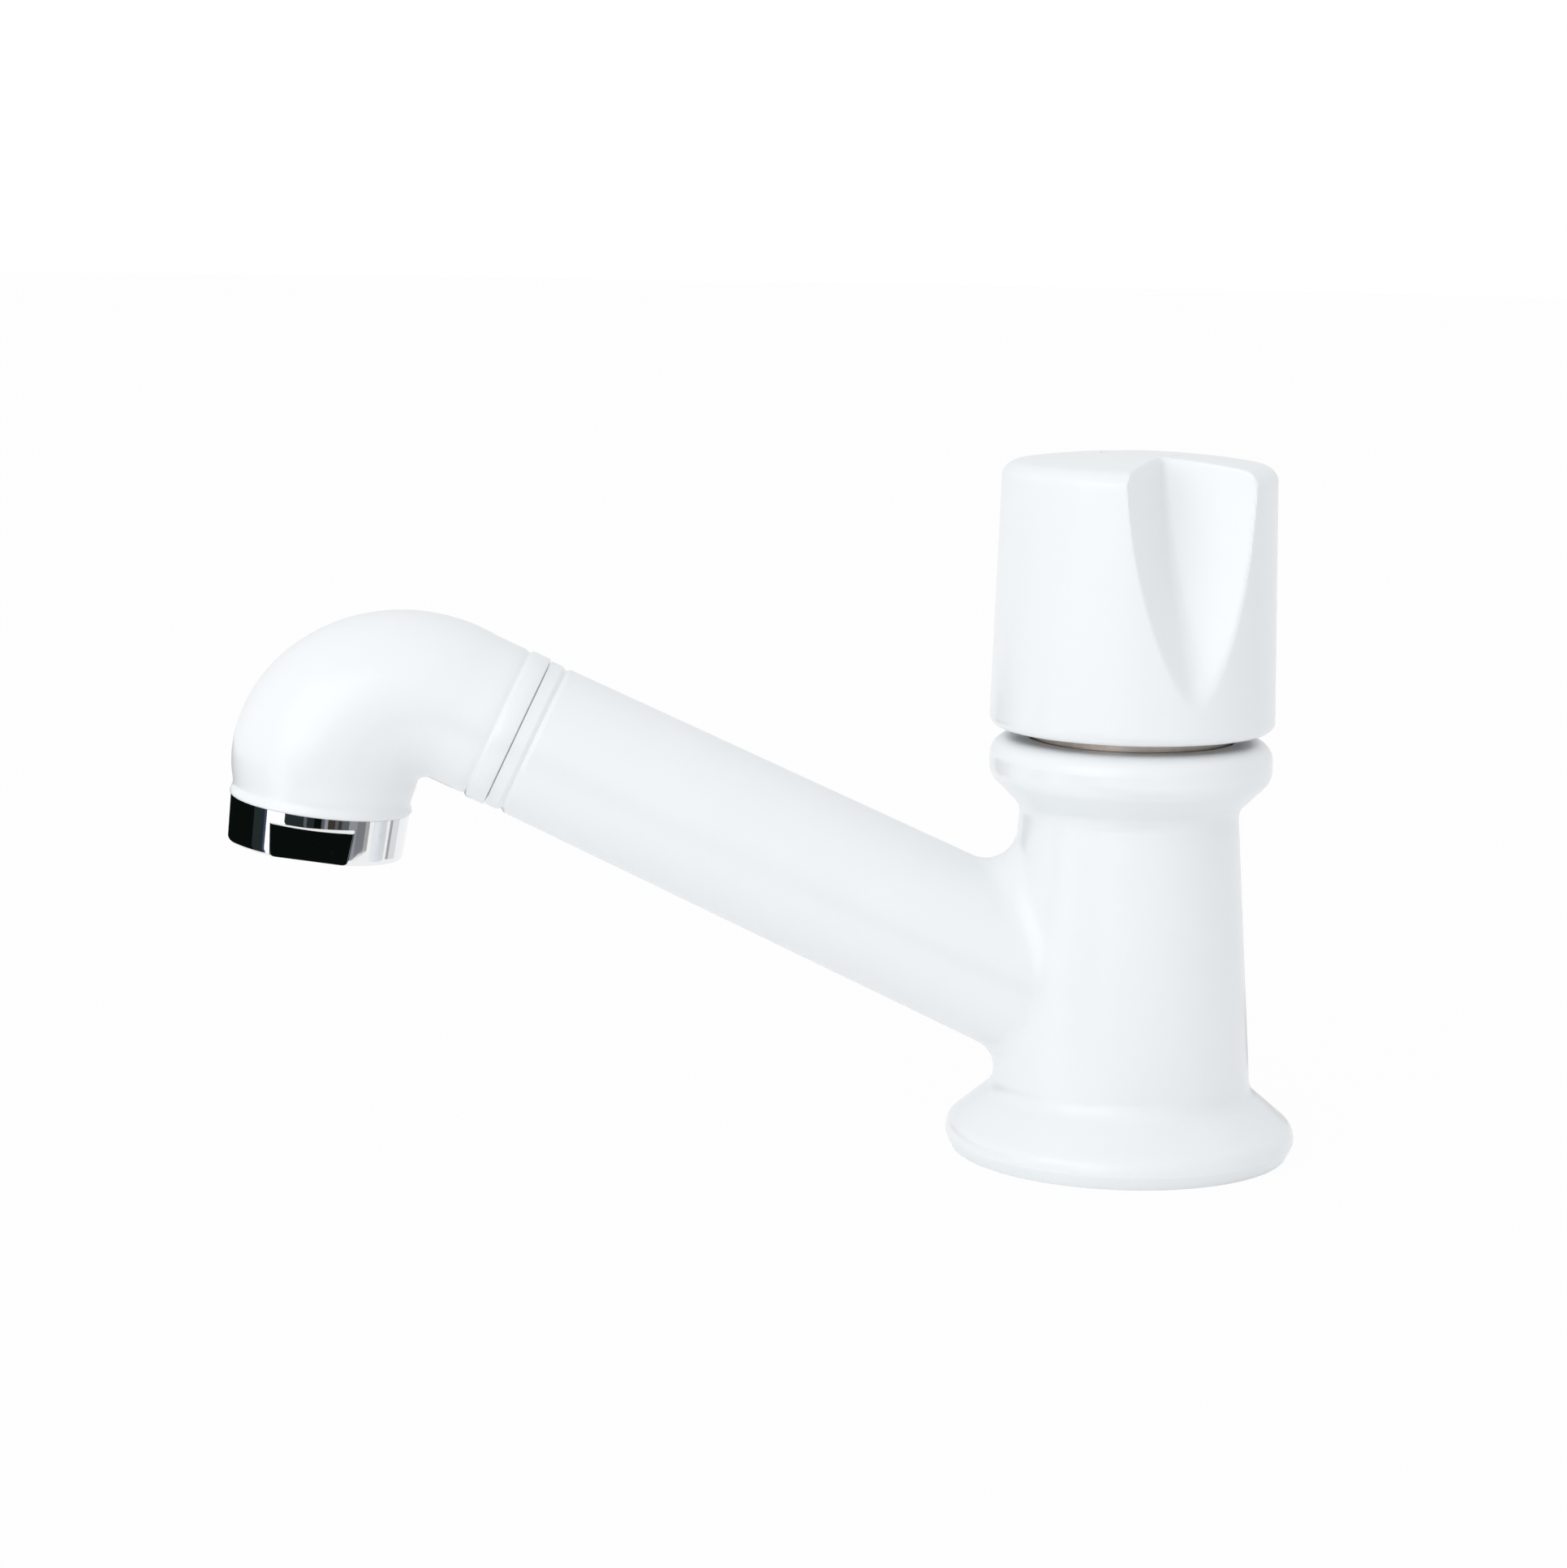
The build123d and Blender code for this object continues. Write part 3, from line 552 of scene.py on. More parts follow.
def stair(height: Number, *steps: Row) -> list[Row]:
    """Rings of a stepped wall.

    Args:
        height: where the wall begins.
        steps: the radius of each stretch, and the height where it ends.

    Returns:
        (radius, height) of each ring.
    """
    rows = []
    for radius, end in steps:
        rows += [(radius, height), (radius, end)]
        height = end
    return rows


def laid(curve: Profile, along: float, radius: float) -> list[Span]:
    """A curve of small steps, laid at a place along an axis and at a radius."""
    return [(along + step, radius + out) for step, out in curve]


@dataclass
class Assembly:
    """A sub-assembly of the tap. Its sizes are in millimetres and degrees."""

    wardrobe: Wardrobe

    def build(self) -> list[Piece]:
        """Build and dress the pieces of this sub-assembly."""
        raise NotImplementedError


@dataclass
class Elbow(Assembly):
    """The swivelling elbow on the arm's end: spigot, collar, bend and outlet.

    A groove is its distance from the arm's end, its width and the radius at its root. A curve
    holds small steps along the tube and outwards from the place where it is laid.
    """

    arm_root: float = 19.156
    arm_rise_deg: float = 24.6
    arm_length: float = 97.1
    arm_radius: float = 11.25
    joint_gap: float = 0.1
    spigot_radius: float = 8.0
    spigot_length: float = 14.2
    spigot_chamfer: float = 0.5
    grooves: tuple[Triple, ...] = ((11.6, 1.06, 7.15), (7.6, 1.4, 6.79), (3.6, 1.4, 6.79))
    lap: float = 0.54
    tongue: float = 0.64
    tongue_radii: Span = (10.34, 10.95)
    collar_edge: Profile = ((0.0, 0.04), (0.05, 0.15), (0.16, 0.2))
    collar_width: float = 2.7
    collar_line: Profile = (
        (-0.62, 0.2), (-0.4, 0.1), (-0.08, -0.2), (0.08, -0.2), (0.4, -0.08), (0.62, 0.0), (2.0, 0.0),
    )
    neck_length: float = 7.8
    neck_end: float = 1.5
    inner_radius: float = 1.5
    turn_deg: float = 107.6
    swells: tuple[float, ...] = (0.0, 0.63, 1.45, 2.15, 2.05)
    outlet_length: float = 4.33
    outlet_radius: float = 12.75
    lip_curve: Profile = (
        (-3.4, 0.39), (-2.4, 0.14), (-1.6, 0.0), (-1.3, 0.02),
        (-0.85, 0.17), (-0.43, 0.3), (-0.12, 0.28), (0.0, 0.16),
    )
    nose_radius: float = 9.95
    nose_length: float = 3.3
    nose_chamfer: float = 0.3
    bore_places: tuple[float, ...] = (0.0, 0.33, 0.67, 1.0)
    bore_radii: tuple[float, ...] = (6.0, 8.0, 8.0, 8.2)
    bore_run: float = 3.0
    crease_deg: float = 30.0
    columns: int = 144
    bend_steps: int = 44

    def __post_init__(self) -> None:
        """Work out the arm's directions, the joint's face, and where the bend begins and turns."""
        rise = math.radians(self.arm_rise_deg)
        self.out = np.array([-math.cos(rise), 0.0, math.sin(rise)])
        self.up = np.array([math.sin(rise), 0.0, math.cos(rise)])
        self.face = self.arm_length + self.joint_gap
        self.bend_start = self.face + self.neck_length
        start = np.array([0.0, 0.0, self.arm_root]) + self.out * self.bend_start
        self.centre = start - self.up * (self.arm_radius + self.inner_radius)

    def swell(self, share: np.ndarray) -> np.ndarray:
        """How much wider than the arm the tube is: a fourth-degree curve through the five swells."""
        knots = np.linspace(0.0, 1.0, len(self.swells))
        return np.polyval(np.polyfit(knots, self.swells, len(knots) - 1), share)

    def directions(self, turn: np.ndarray) -> tuple[np.ndarray, np.ndarray]:
        """Outwards from the bend's centre and along the tube, after a turn: the arm's directions turned."""
        cosine, sine = np.cos(turn)[..., None], np.sin(turn)[..., None]
        return cosine * self.up + sine * self.out, cosine * self.out - sine * self.up

    def outlet_frame(self) -> Matrix:
        """The outlet's frame: z down the water, y across the tap, origin at the lip.

        Returns:
            The frame in metres.
        """
        spoke, down = self.directions(np.array(math.radians(self.turn_deg)))
        radius = self.arm_radius + self.swells[-1]
        lip = self.centre + spoke * (self.inner_radius + radius) + down * self.outlet_length
        turned = np.stack([-spoke, np.cross(down, -spoke), down], axis=1)
        return Matrix.Translation(Vector(lip * MM)) @ Matrix(turned.tolist()).to_4x4()

    def ring_places(self, along: np.ndarray) -> tuple[np.ndarray, np.ndarray]:
        """Where the tube's rings lie: straight up to the bend, round its centre, and straight on.

        Args:
            along: the distance along the arm up to the bend, then bend_start plus the share of
                the bend, then bend_start plus one plus the distance past the bend.

        Returns:
            The middle of each ring, and its direction outwards from the bend's centre.
        """
        share = np.clip(along - self.bend_start, 0.0, 1.0)
        spoke, heading = self.directions(share * math.radians(self.turn_deg))
        middle = self.centre + spoke * (self.inner_radius + self.arm_radius + self.swell(share))[:, None]
        before = np.minimum(along - self.bend_start, 0.0)[:, None]
        after = np.maximum(along - self.bend_start - 1.0, 0.0)[:, None]
        return middle + self.out * before + heading * after, spoke

    def section(self) -> np.ndarray:
        """The skin's section, out along the outside and back down the bore.

        Returns:
            Pairs of the place along the tube, as in ring_places, and the radius.
        """
        start, face, radius = self.face - self.spigot_length, self.face, self.spigot_radius
        line = face + self.collar_width
        end = self.bend_start + 1.0
        lip = end + self.outlet_length
        chamfer, bore = self.spigot_chamfer, self.bore_radii[0]
        rows = [(start, bore + chamfer), (start, radius - chamfer), (start + chamfer, radius)]
        for distance, width, root in self.grooves:
            low = self.arm_length - distance - width / 2
            rows += [(low, radius), (low, root), (low + width, root), (low + width, radius)]
        inner, outer = self.tongue_radii
        rows += [(face, radius), (face, inner), (face - self.tongue, inner)]
        rows += [(face - self.tongue, outer), (face - self.lap, outer)]
        rows += laid(self.collar_edge, face - self.lap, self.arm_radius)
        rows += laid(self.collar_line, line, self.arm_radius)
        rows.append((self.bend_start - self.neck_end, self.arm_radius))
        shares = np.linspace(0.0, 1.0, self.bend_steps)
        rows += zip(self.bend_start + shares, self.arm_radius + self.swell(shares))
        rows += laid(self.lip_curve, lip, self.outlet_radius)
        tip, chamfer = lip + self.nose_length, self.nose_chamfer
        rows += [(lip, self.nose_radius), (tip - chamfer, self.nose_radius)]
        rows += [(tip, self.nose_radius - chamfer), (tip, self.bore_radii[-1])]
        rows += zip(end - shares, np.interp(1 - shares, self.bore_places, self.bore_radii))
        rows += [(self.bend_start - self.bore_run, bore), (start, bore)]
        return np.array(rows)

    def build(self) -> list[Piece]:
        """Carry the section round the bend and replace the frame's elbow.

        Each ring lies square to the tube's middle line: its points are the middle plus the
        radius times (cos of the angle outwards from the bend, sin of it across the tap).

        Returns:
            The elbow.
        """
        section = self.section()
        middle, spoke = self.ring_places(section[:, 0])
        angle = np.arange(self.columns)[None, :, None] * TURN / self.columns
        across = np.array([0.0, -1.0, 0.0])
        round_middle = spoke[:, None] * np.cos(angle) + across * np.sin(angle)
        points = middle[:, None] + round_middle * section[:, 1][:, None, None]
        faces = skin_faces(len(section), self.columns)
        piece = make_mesh("elbow_skin", points.reshape(-1, 3) * MM, faces, self.crease_deg)
        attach(piece, Bodies.ELBOW.value)
        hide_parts("spout_elbow")
        self.wardrobe.dress(piece, Slots.WHITE)
        return [piece]


@dataclass
class Aerator(Assembly):
    """The plated ring with its spanner flats, on the outlet's own frame; depths are below the lip."""

    place: Matrix
    top_radius: float = 12.85
    low_radius: float = 12.55
    height: float = 6.6
    top_edge: float = 0.08
    low_round: float = 0.3
    flat_half: float = 11.3
    flat_turn_deg: float = 2.0
    flat_start: float = 2.0
    flat_softness: float = 0.04
    flat_gap: float = 0.02
    least_sine: float = 0.05
    ledge_round: float = 0.35
    ledge_steps_deg: tuple[float, ...] = (20.0, 40.0, 60.0, 80.0)
    mouth_radius: float = 8.6
    mouth_curve: Profile = ((0.0, 0.3), (-0.08, 0.08), (-0.3, 0.0))
    seat_depth: float = 5.3
    thread_radius: float = 10.0
    thread_depth: float = 0.45
    thread_pitch: float = 1.0
    thread_relief: float = 3.4
    thread_low: float = 3.2
    run_out: float = 0.5
    crease_deg: float = 24.0
    columns: int = 720
    side_rows: int = 5
    flat_rows: int = 9
    edge_rows: int = 8
    thread_rows: int = 34

    def flat_limit(self) -> np.ndarray:
        """Radius at which each direction meets a flat: half the width over the size of sin(angle)."""
        angle = np.arange(self.columns) * TURN / self.columns + math.radians(self.flat_turn_deg)
        return self.flat_half / np.maximum(np.abs(np.sin(angle)), self.least_sine)

    def side(self, depth: float) -> float:
        """The tapering side's radius at a depth."""
        return self.top_radius + (self.low_radius - self.top_radius) * depth / self.height

    def thread(self, depth: float) -> np.ndarray:
        """Radius of the helical thread in every direction.

        It grows from the crest by the thread's depth times a triangle wave of (depth / pitch -
        angle / full turn), faded out at the thread's lower end.

        Args:
            depth: how far below the lip.

        Returns:
            The radii.
        """
        phase = (depth / self.thread_pitch - np.arange(self.columns) / self.columns) % 1.0
        fade = min(1.0, (self.thread_low - depth) / self.run_out)
        return self.thread_radius + self.thread_depth * fade * (1 - np.abs(2 * phase - 1))

    def rows(self) -> list[Row]:
        """The rings of the section, down the outside, round the mouth and up the thread.

        Below the ledge each ring is the smaller of the tapering side and the flats' limit.

        Returns:
            (radius, depth) of each ring.
        """
        limit, edge, low_round = self.flat_limit(), self.top_edge, self.low_round
        low = self.height - low_round
        rows: list[Row] = [(self.top_radius - edge, 0.0), (self.side(edge), edge)]
        depths = np.linspace(2 * edge, self.flat_start - self.ledge_round, self.side_rows)
        rows += [(self.side(depth), depth) for depth in depths]
        for step in np.radians(self.ledge_steps_deg):
            depth = self.flat_start - self.ledge_round * (1 - np.sin(step))
            rounded = self.side(depth) - self.ledge_round * (1 - np.cos(step))
            rows.append((np.maximum(rounded, np.minimum(self.side(depth), limit)), depth))
        depths = np.linspace(self.flat_start + self.flat_gap, low, self.flat_rows)
        cut = [(self.side(depth), depth) for depth in depths]
        cut += arc_rows((self.low_radius - low_round, low), low_round, (10, 90), self.edge_rows)
        rows += [(soft_min(radius, limit, self.flat_softness), depth) for radius, depth in cut]
        rows += [(self.mouth_radius + out, self.height + step) for step, out in self.mouth_curve]
        rows += [(self.mouth_radius, self.seat_depth), (self.thread_radius, self.seat_depth)]
        rows.append((self.thread_radius, self.thread_relief))
        depths = np.linspace(self.thread_low, 0.0, self.thread_rows)
        return rows + [(self.thread(depth), depth) for depth in depths]

    def build(self) -> list[Piece]:
        """Make the plated ring and put it in place of the frame's plain one.

        Returns:
            The ring.
        """
        piece = ring_skin("plated_ring", self.rows(), self.columns, self.place, self.crease_deg)
        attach(piece, Bodies.ELBOW.value)
        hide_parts("aerator_housing")
        self.wardrobe.dress(piece, Slots.CHROME)
        return [piece]


@dataclass
class Knob(Assembly):
    """The turning knob, a tapering drum with two V-shaped flutes, and the plug over its screw.

    A bore is its radius and the height above the knob's foot where it ends on the way down.
    """

    low: float = 61.696
    height: float = 37.45
    low_radius: float = 20.36
    taper: float = 0.94
    dome_rise: float = 1.7
    low_round: float = 1.5
    top_round: float = 2.2
    rim_start_deg: float = 9.0
    side_gap: float = 0.4
    flute_top_round: float = 0.8
    flute_blend: float = 2.0
    flute_turn_deg: float = 20.6
    flute_half_deg: float = 44.0
    flute_tip: Span = (19.3, 6.8)
    flute_middle: Span = (11.1, 22.3)
    flute_top_radius: float = 7.0
    valley_softness: Span = (2.6, 0.8)
    valley_shift: float = 0.75
    rim_softness: float = 1.1
    least_square: float = 0.02
    cap_seat: Span = (5.63, 35.7)
    screw_well: Span = (4.6, 28.3)
    screw_hole: Span = (2.15, 24.3)
    spline_radii: Span = (4.05, 3.60)
    spline_teeth: int = 20
    spline_low: float = 11.2
    hub: Span = (6.6, 16.5)
    cores: Profile = ((10.0, 9.9), (13.6, 4.3))
    skirt: Span = (17.66, 0.3)
    cap_gap: float = 0.08
    cap_edge: float = 0.1
    plug_length: float = 2.6
    plug_wall: float = 1.0
    first_share: float = 0.12
    foot_rows: int = 7
    side_rows: int = 84
    rim_rows: int = 9
    dome_rows: int = 9
    cap_rings: int = 8
    cap_columns: int = 96
    columns: int = 480

    def dome(self, radius: Number) -> Number:
        """Height of the domed top: the rise times one less the square of the share of the radius."""
        return self.height + self.dome_rise * (1 - (radius / (self.low_radius - self.taper)) ** 2)

    def drum(self, height: float) -> float:
        """The tapering side's radius at a height."""
        return self.low_radius - self.taper * height / self.height

    def flute(self, height: Number) -> np.ndarray:
        """Radius at which each direction meets the nearer flute's wall.

        The valley's radius is a parabola in the height, through the tip, the middle and the top.
        In plan the wall is a hyperbola: x = valley + sqrt(y * y + softness squared) / tan(half
        angle). With x and y written by the radius and the angle it becomes a quadratic in the
        radius, whose larger root is the wall. Past the half angle there is no wall.

        Args:
            height: above the knob's foot, one value or one for each direction.

        Returns:
            The radii.
        """
        angle = np.arange(self.columns) * TURN / self.columns - math.radians(self.flute_turn_deg - 90)
        angle = (angle + math.pi / 2) % math.pi - math.pi / 2
        slope = 1 / math.tan(math.radians(self.flute_half_deg))
        (tip_radius, tip), (middle_radius, middle) = self.flute_tip, self.flute_middle
        radii = (tip_radius, middle_radius, self.flute_top_radius)
        valley = np.polyval(np.polyfit((tip, middle, self.height), radii, 2), height)
        softness = np.interp(height, (tip, self.height), self.valley_softness)
        depth = valley - self.valley_shift * softness * slope
        cosine, sine = np.cos(angle), np.sin(angle)
        square = cosine**2 - (slope * sine) ** 2
        walled = square > self.least_square
        square = np.where(walled, square, 1.0)
        root = np.maximum((cosine * depth) ** 2 - square * (depth**2 - (slope * softness) ** 2), 0.0)
        return np.where(walled, (cosine * depth + np.sqrt(root)) / square, 4 * self.low_radius)

    def outline(self, height: Number) -> np.ndarray:
        """Radius of the fluted drum in every direction at a height."""
        return soft_min(self.drum(height), self.flute(height), self.rim_softness)

    def rows(self) -> list[Row]:
        """The rings of the section: foot, fluted side, rounded rim, dome, cap seat, bores and cores.

        Returns:
            (radius, height above the knob's foot) of each ring.
        """
        low_round = self.low_round
        rows = arc_rows((self.low_radius - low_round, low_round), low_round, (-90, -8), self.foot_rows)
        rim = self.outline(self.height)
        inside = np.clip((self.drum(self.height) - rim) / self.flute_blend, 0.0, 1.0)
        rounding = self.top_round + (self.flute_top_round - self.top_round) * inside
        edge = self.dome(rim - rounding) - rounding
        rim = self.outline(edge)
        foot = low_round + self.side_gap
        for share in np.linspace(0.0, 1.0, self.side_rows):
            height = foot + (edge - foot) * share
            rows.append((self.outline(height), height))
        for step in np.radians(np.linspace(self.rim_start_deg, 90.0, self.rim_rows)):
            radius = rim - rounding * (1 - np.cos(step))
            rows.append((radius, edge + (self.dome(radius) - edge) * np.sin(step)))
        seat = self.cap_seat[0]
        brink = seat + self.cap_edge
        for share in np.linspace(self.first_share, 1.0, self.dome_rows):
            radius = np.maximum((rim - rounding) * (1 - share) + brink * share, brink)
            rows.append((radius, self.dome(radius)))
        teeth = (np.arange(self.columns) * self.spline_teeth / self.columns) % 1.0
        crest, valley = self.spline_radii
        spline = valley + (crest - valley) * np.abs(2 * teeth - 1)
        inner = (self.cap_seat, self.screw_well, self.screw_hole, (spline, self.spline_low))
        rows += stair(self.dome(seat) - self.cap_edge, *inner, self.hub, *self.cores, self.skirt)
        return rows + [(sum(self.skirt), 0.0)]

    def cap_rows(self) -> list[Row]:
        """The rings of the plug over the screw, whose top carries the knob's dome on.

        Returns:
            (radius, height above the knob's foot) of each ring.
        """
        radius, seat = self.cap_seat[0] - self.cap_gap, self.cap_seat[1]
        plug, low = self.screw_well[0] - self.cap_gap, seat - self.plug_length
        bore = plug - self.plug_wall
        top = [(r, self.dome(r)) for r in np.linspace(0.0, radius - self.cap_edge, self.cap_rings)]
        shoulder = [(radius, top[-1][1] - self.cap_edge), (radius, seat), (plug, seat)]
        return top + shoulder + [(plug, low), (bore, low), (bore, seat), (0.0, seat)]

    def build(self) -> list[Piece]:
        """Make the knob and its plug, and put them in place of the frame's.

        Returns:
            The knob and the plug.
        """
        place = Matrix.Translation((0.0, 0.0, self.low * MM))
        knob = ring_skin("knob_skin", self.rows(), self.columns, place)
        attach(knob, Bodies.KNOB.value)
        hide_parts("knob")
        cap = ring_skin("domed_cap", self.cap_rows(), self.cap_columns, place, poled=True)
        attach(cap, Bodies.KNOB.value)
        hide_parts("knob_cap")
        for piece in (knob, cap):
            self.wardrobe.dress(piece, Slots.WHITE)
        return [knob, cap]


@dataclass
class Shank(Assembly):
    """The threaded shank below the foot, with its head and the riser that holds the valve's seat.

    The head, the riser and the bores are radii with the heights where they end.
    """

    crest: float = 12.0
    tail_crest: float = 10.48
    depth: float = 1.16
    pitch: float = 1.814
    low: float = -46.0
    chamfer: float = 0.8
    tail_top: float = -28.3
    step_height: float = -26.3
    groove_radius: float = 9.18
    thread_top: float = -0.9
    head_low: float = 0.3
    head: Span = (13.4, 12.0)
    riser: Span = (7.6, 30.796)
    seat_rim: Span = (6.3, 31.996)
    seat_bore: Span = (4.8, 23.996)
    bore: float = 6.0
    columns: int = 96
    ring_step: float = 0.15
    run_out: float = 0.9

    def stretch(self, crest: float, low: float, high: float) -> list[Row]:
        """One threaded stretch, whose thread runs out at both ends.

        The radius is the crest less the depth times a raised cosine of (height / pitch - angle /
        full turn), which has rounded crests and roots.

        Args:
            crest: the thread's outer radius.
            low: where the stretch begins.
            high: where it ends.

        Returns:
            (radius, height) of each ring.
        """
        heights = np.linspace(low, high, int((high - low) / self.ring_step))
        fades = np.clip(np.minimum(heights - low, high - heights) / self.run_out, 0.0, 1.0)
        phase = (heights[:, None] / self.pitch - np.arange(self.columns) / self.columns) * TURN
        radii = crest - self.depth * fades[:, None] * (0.5 - 0.5 * np.cos(phase))
        return list(zip(radii, heights))

    def build(self) -> list[Piece]:
        """Make the shank with its thread, head, riser and seat.

        Returns:
            The shank.
        """
        rows: list[Row] = [(self.bore, self.low), (self.tail_crest - self.chamfer, self.low)]
        rows += self.stretch(self.tail_crest, self.low + self.chamfer, self.tail_top)
        rows += stair(self.tail_top, (self.groove_radius, self.step_height))
        rows.append((self.crest - self.chamfer, self.step_height))
        rows += self.stretch(self.crest, self.step_height + self.chamfer, self.thread_top)
        rows.append((self.crest, self.head_low))
        rows += stair(self.head_low, self.head, self.riser)
        rows += [self.seat_rim, *stair(self.seat_rim[1], self.seat_bore), (self.bore, self.seat_bore[1])]
        piece = ring_skin("threaded_riser", rows, self.columns)
        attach(piece, Bodies.BODY.value)
        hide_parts("inlet_riser")
        self.wardrobe.dress(piece, Slots.SHANK)
        return [piece]


@dataclass
class Backnut(Assembly):
    """Flanged hexagonal nut with chamfered corners, under the deck."""

    low: float = -26.1
    top: float = -16.6
    across: float = 29.0
    corner: float = 1.2
    corner_cut: float = 0.36
    chamfer: float = 0.9
    chamfer_slope: float = 2.6
    chamfer_softness: float = 0.2
    first_share: float = 0.2
    side_gaps: Span = (0.3, 0.5)
    lead_in: float = 0.2
    flange_radius: float = 17.6
    flange: float = 2.4
    flange_edge: Profile = ((0.0, -0.4), (0.4, 0.0))
    top_edge: float = 0.3
    fillet: Profile = ((-0.12, 0.12), (0.0, 0.5))
    bore: float = 12.05
    bore_chamfer: float = 0.7
    columns: int = 360
    side_rows: int = 5

    def hexagon(self) -> np.ndarray:
        """Radius of a hexagon: half the width over cos(angle from the flat), capped softly at the corners.

        Returns:
            The radii.
        """
        angle = np.arange(self.columns) * TURN / self.columns
        fold = (angle + math.pi / 6) % (math.pi / 3) - math.pi / 6
        cap = self.across / math.sqrt(3) - self.corner_cut
        return soft_min(self.across / 2 / np.cos(fold), cap, self.corner)

    def build(self) -> list[Piece]:
        """Make the nut and put it in place of the frame's plain one.

        Returns:
            The nut.
        """
        side, low, top, chamfer = self.hexagon(), self.low, self.top, self.bore_chamfer
        flange_low = top - self.flange
        lead = self.across / 2 - self.lead_in
        rows: list[Row] = [(self.bore + chamfer, low), (lead, low)]
        for share in np.linspace(self.first_share, 1.0, self.side_rows):
            cone = lead + share * self.chamfer * self.chamfer_slope
            rows.append((soft_min(side, cone, self.chamfer_softness), low + self.chamfer * share))
        first, last = low + self.chamfer + self.side_gaps[0], flange_low - self.side_gaps[1]
        rows += [(side, height) for height in np.linspace(first, last, self.side_rows)]
        rows += [(side + out, flange_low + step) for step, out in self.fillet]
        rows += [(self.flange_radius + out, flange_low + step) for step, out in self.flange_edge]
        rows += [(self.flange_radius, top - self.top_edge), (self.flange_radius - self.top_edge, top)]
        rows += [(self.bore + chamfer, top), (self.bore, top - chamfer), (self.bore, low + chamfer)]
        piece = ring_skin("flanged_backnut", rows, self.columns)
        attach(piece, Bodies.BODY.value)
        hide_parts("backnut")
        self.wardrobe.dress(piece, Slots.NUT)
        return [piece]


CARRIED: dict[Slots, tuple[str, ...]] = {
    Slots.WHITE: ("body_shell",),
    Slots.RUBBER: (
        "deck_gasket", "riser_seal", "bonnet_gasket", "spindle_o_rings", "swivel_o_rings",
        "aerator_washer",
    ),
    Slots.SEAT: ("seat_washer",),
    Slots.NUT: ("deck_washer",),
    Slots.BRASS: ("bonnet", "spindle", "plunger"),
    Slots.STEEL: ("spindle_clip", "knob_screw", "washer_screw", "aerator_screen"),
    Slots.CLIP: ("swivel_clip",),
    Slots.INSERT: ("aerator_insert", "aerator_grid"),
}


@dataclass
class Carried(Assembly):
    """The frame's own nodes that keep their shape and get a finish."""

    def build(self) -> list[Piece]:
        """Give each node its finish.

        Returns:
            The nodes.
        """
        pieces = []
        for slot, names in CARRIED.items():
            for name in names:
                self.wardrobe.recoat(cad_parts[name], slot)
                pieces.append(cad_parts[name])
        return pieces


@dataclass(frozen=True)
class Card:
    """A flat card seen in reflections: its middle, the point it faces, its size and brightness.

    A card that shades also keeps light off the tap.
    """

    name: str
    place: Triple
    faces: Triple
    size: Span
    colour: Triple
    shades: bool = False


class Tone(Enum):
    """The colours of the screen round the outlet."""

    BLACK = (0.003, 0.005, 0.004)
    SLATE = (0.020, 0.028, 0.030)
    BLUE = (0.050, 0.070, 0.140)
    BROWN = (0.050, 0.042, 0.035)
    GREY = (0.110, 0.120, 0.130)
    LAVENDER = (0.300, 0.310, 0.340)
    WARM = (0.420, 0.420, 0.410)
    STEEL = (0.210, 0.220, 0.235)
    PALE = (0.780, 0.800, 0.810)
    WHITE = (1.250, 1.250, 1.250)


class Band(Enum):
    """Which steps of the screen's profile a sector covers: the floor and sill, the side, or both."""

    SILL = slice(0, 3)
    SIDE = slice(2, 4)
    WHOLE = slice(0, 4)


@dataclass(frozen=True)
class Sector:
    """Part of the screen round the outlet, between two directions counted from -Y towards +X."""

    name: str
    start_deg: float
    end_deg: float
    tone: Tone
    band: Band = Band.SILL


def turned_to(place: Vector, target: Vector) -> Matrix:
    """The frame at a place whose -z axis points at a target."""
    return Matrix.Translation(place) @ (target - place).to_track_quat("-Z", "Y").to_matrix().to_4x4()


def stage_sheet(name: str, points: np.ndarray, faces: np.ndarray, material: Material) -> Piece:
    """Put a sheet of the studio into the scene, as no part of the tap.

    Args:
        name: the sheet's name.
        points: corner positions in metres.
        faces: corner numbers of each face.
        material: what it is made of.

    Returns:
        The new object.
    """
    mesh = bpy.data.meshes.new(name)
    mesh.from_pydata(points.reshape(-1, 3).tolist(), [], faces.reshape(-1, 4).tolist())
    mesh.materials.append(material)
    obj = bpy.data.objects.new(name, mesh)
    bpy.context.scene.collection.objects.link(obj)
    return obj


def glowing_sheet(
    name: str, points: np.ndarray, faces: np.ndarray, colour: Triple, shades: bool = False
) -> None:
    """Place an even glow that only glossy rays see, and diffuse ones too where it shades.

    Args:
        name: the sheet's name.
        points: corner positions in metres.
        faces: corner numbers of each face.
        colour: its brightness.
        shades: whether it also keeps light off the tap.
    """
    material, sheet = new_material(name)
    sheet.add("OutputMaterial", sheet.add("Emission", (*colour, 1), 1.0)[0])
    obj = stage_sheet(name, points, faces, material)
    obj.visible_camera = obj.visible_shadow = obj.visible_transmission = False
    obj.visible_diffuse = shades


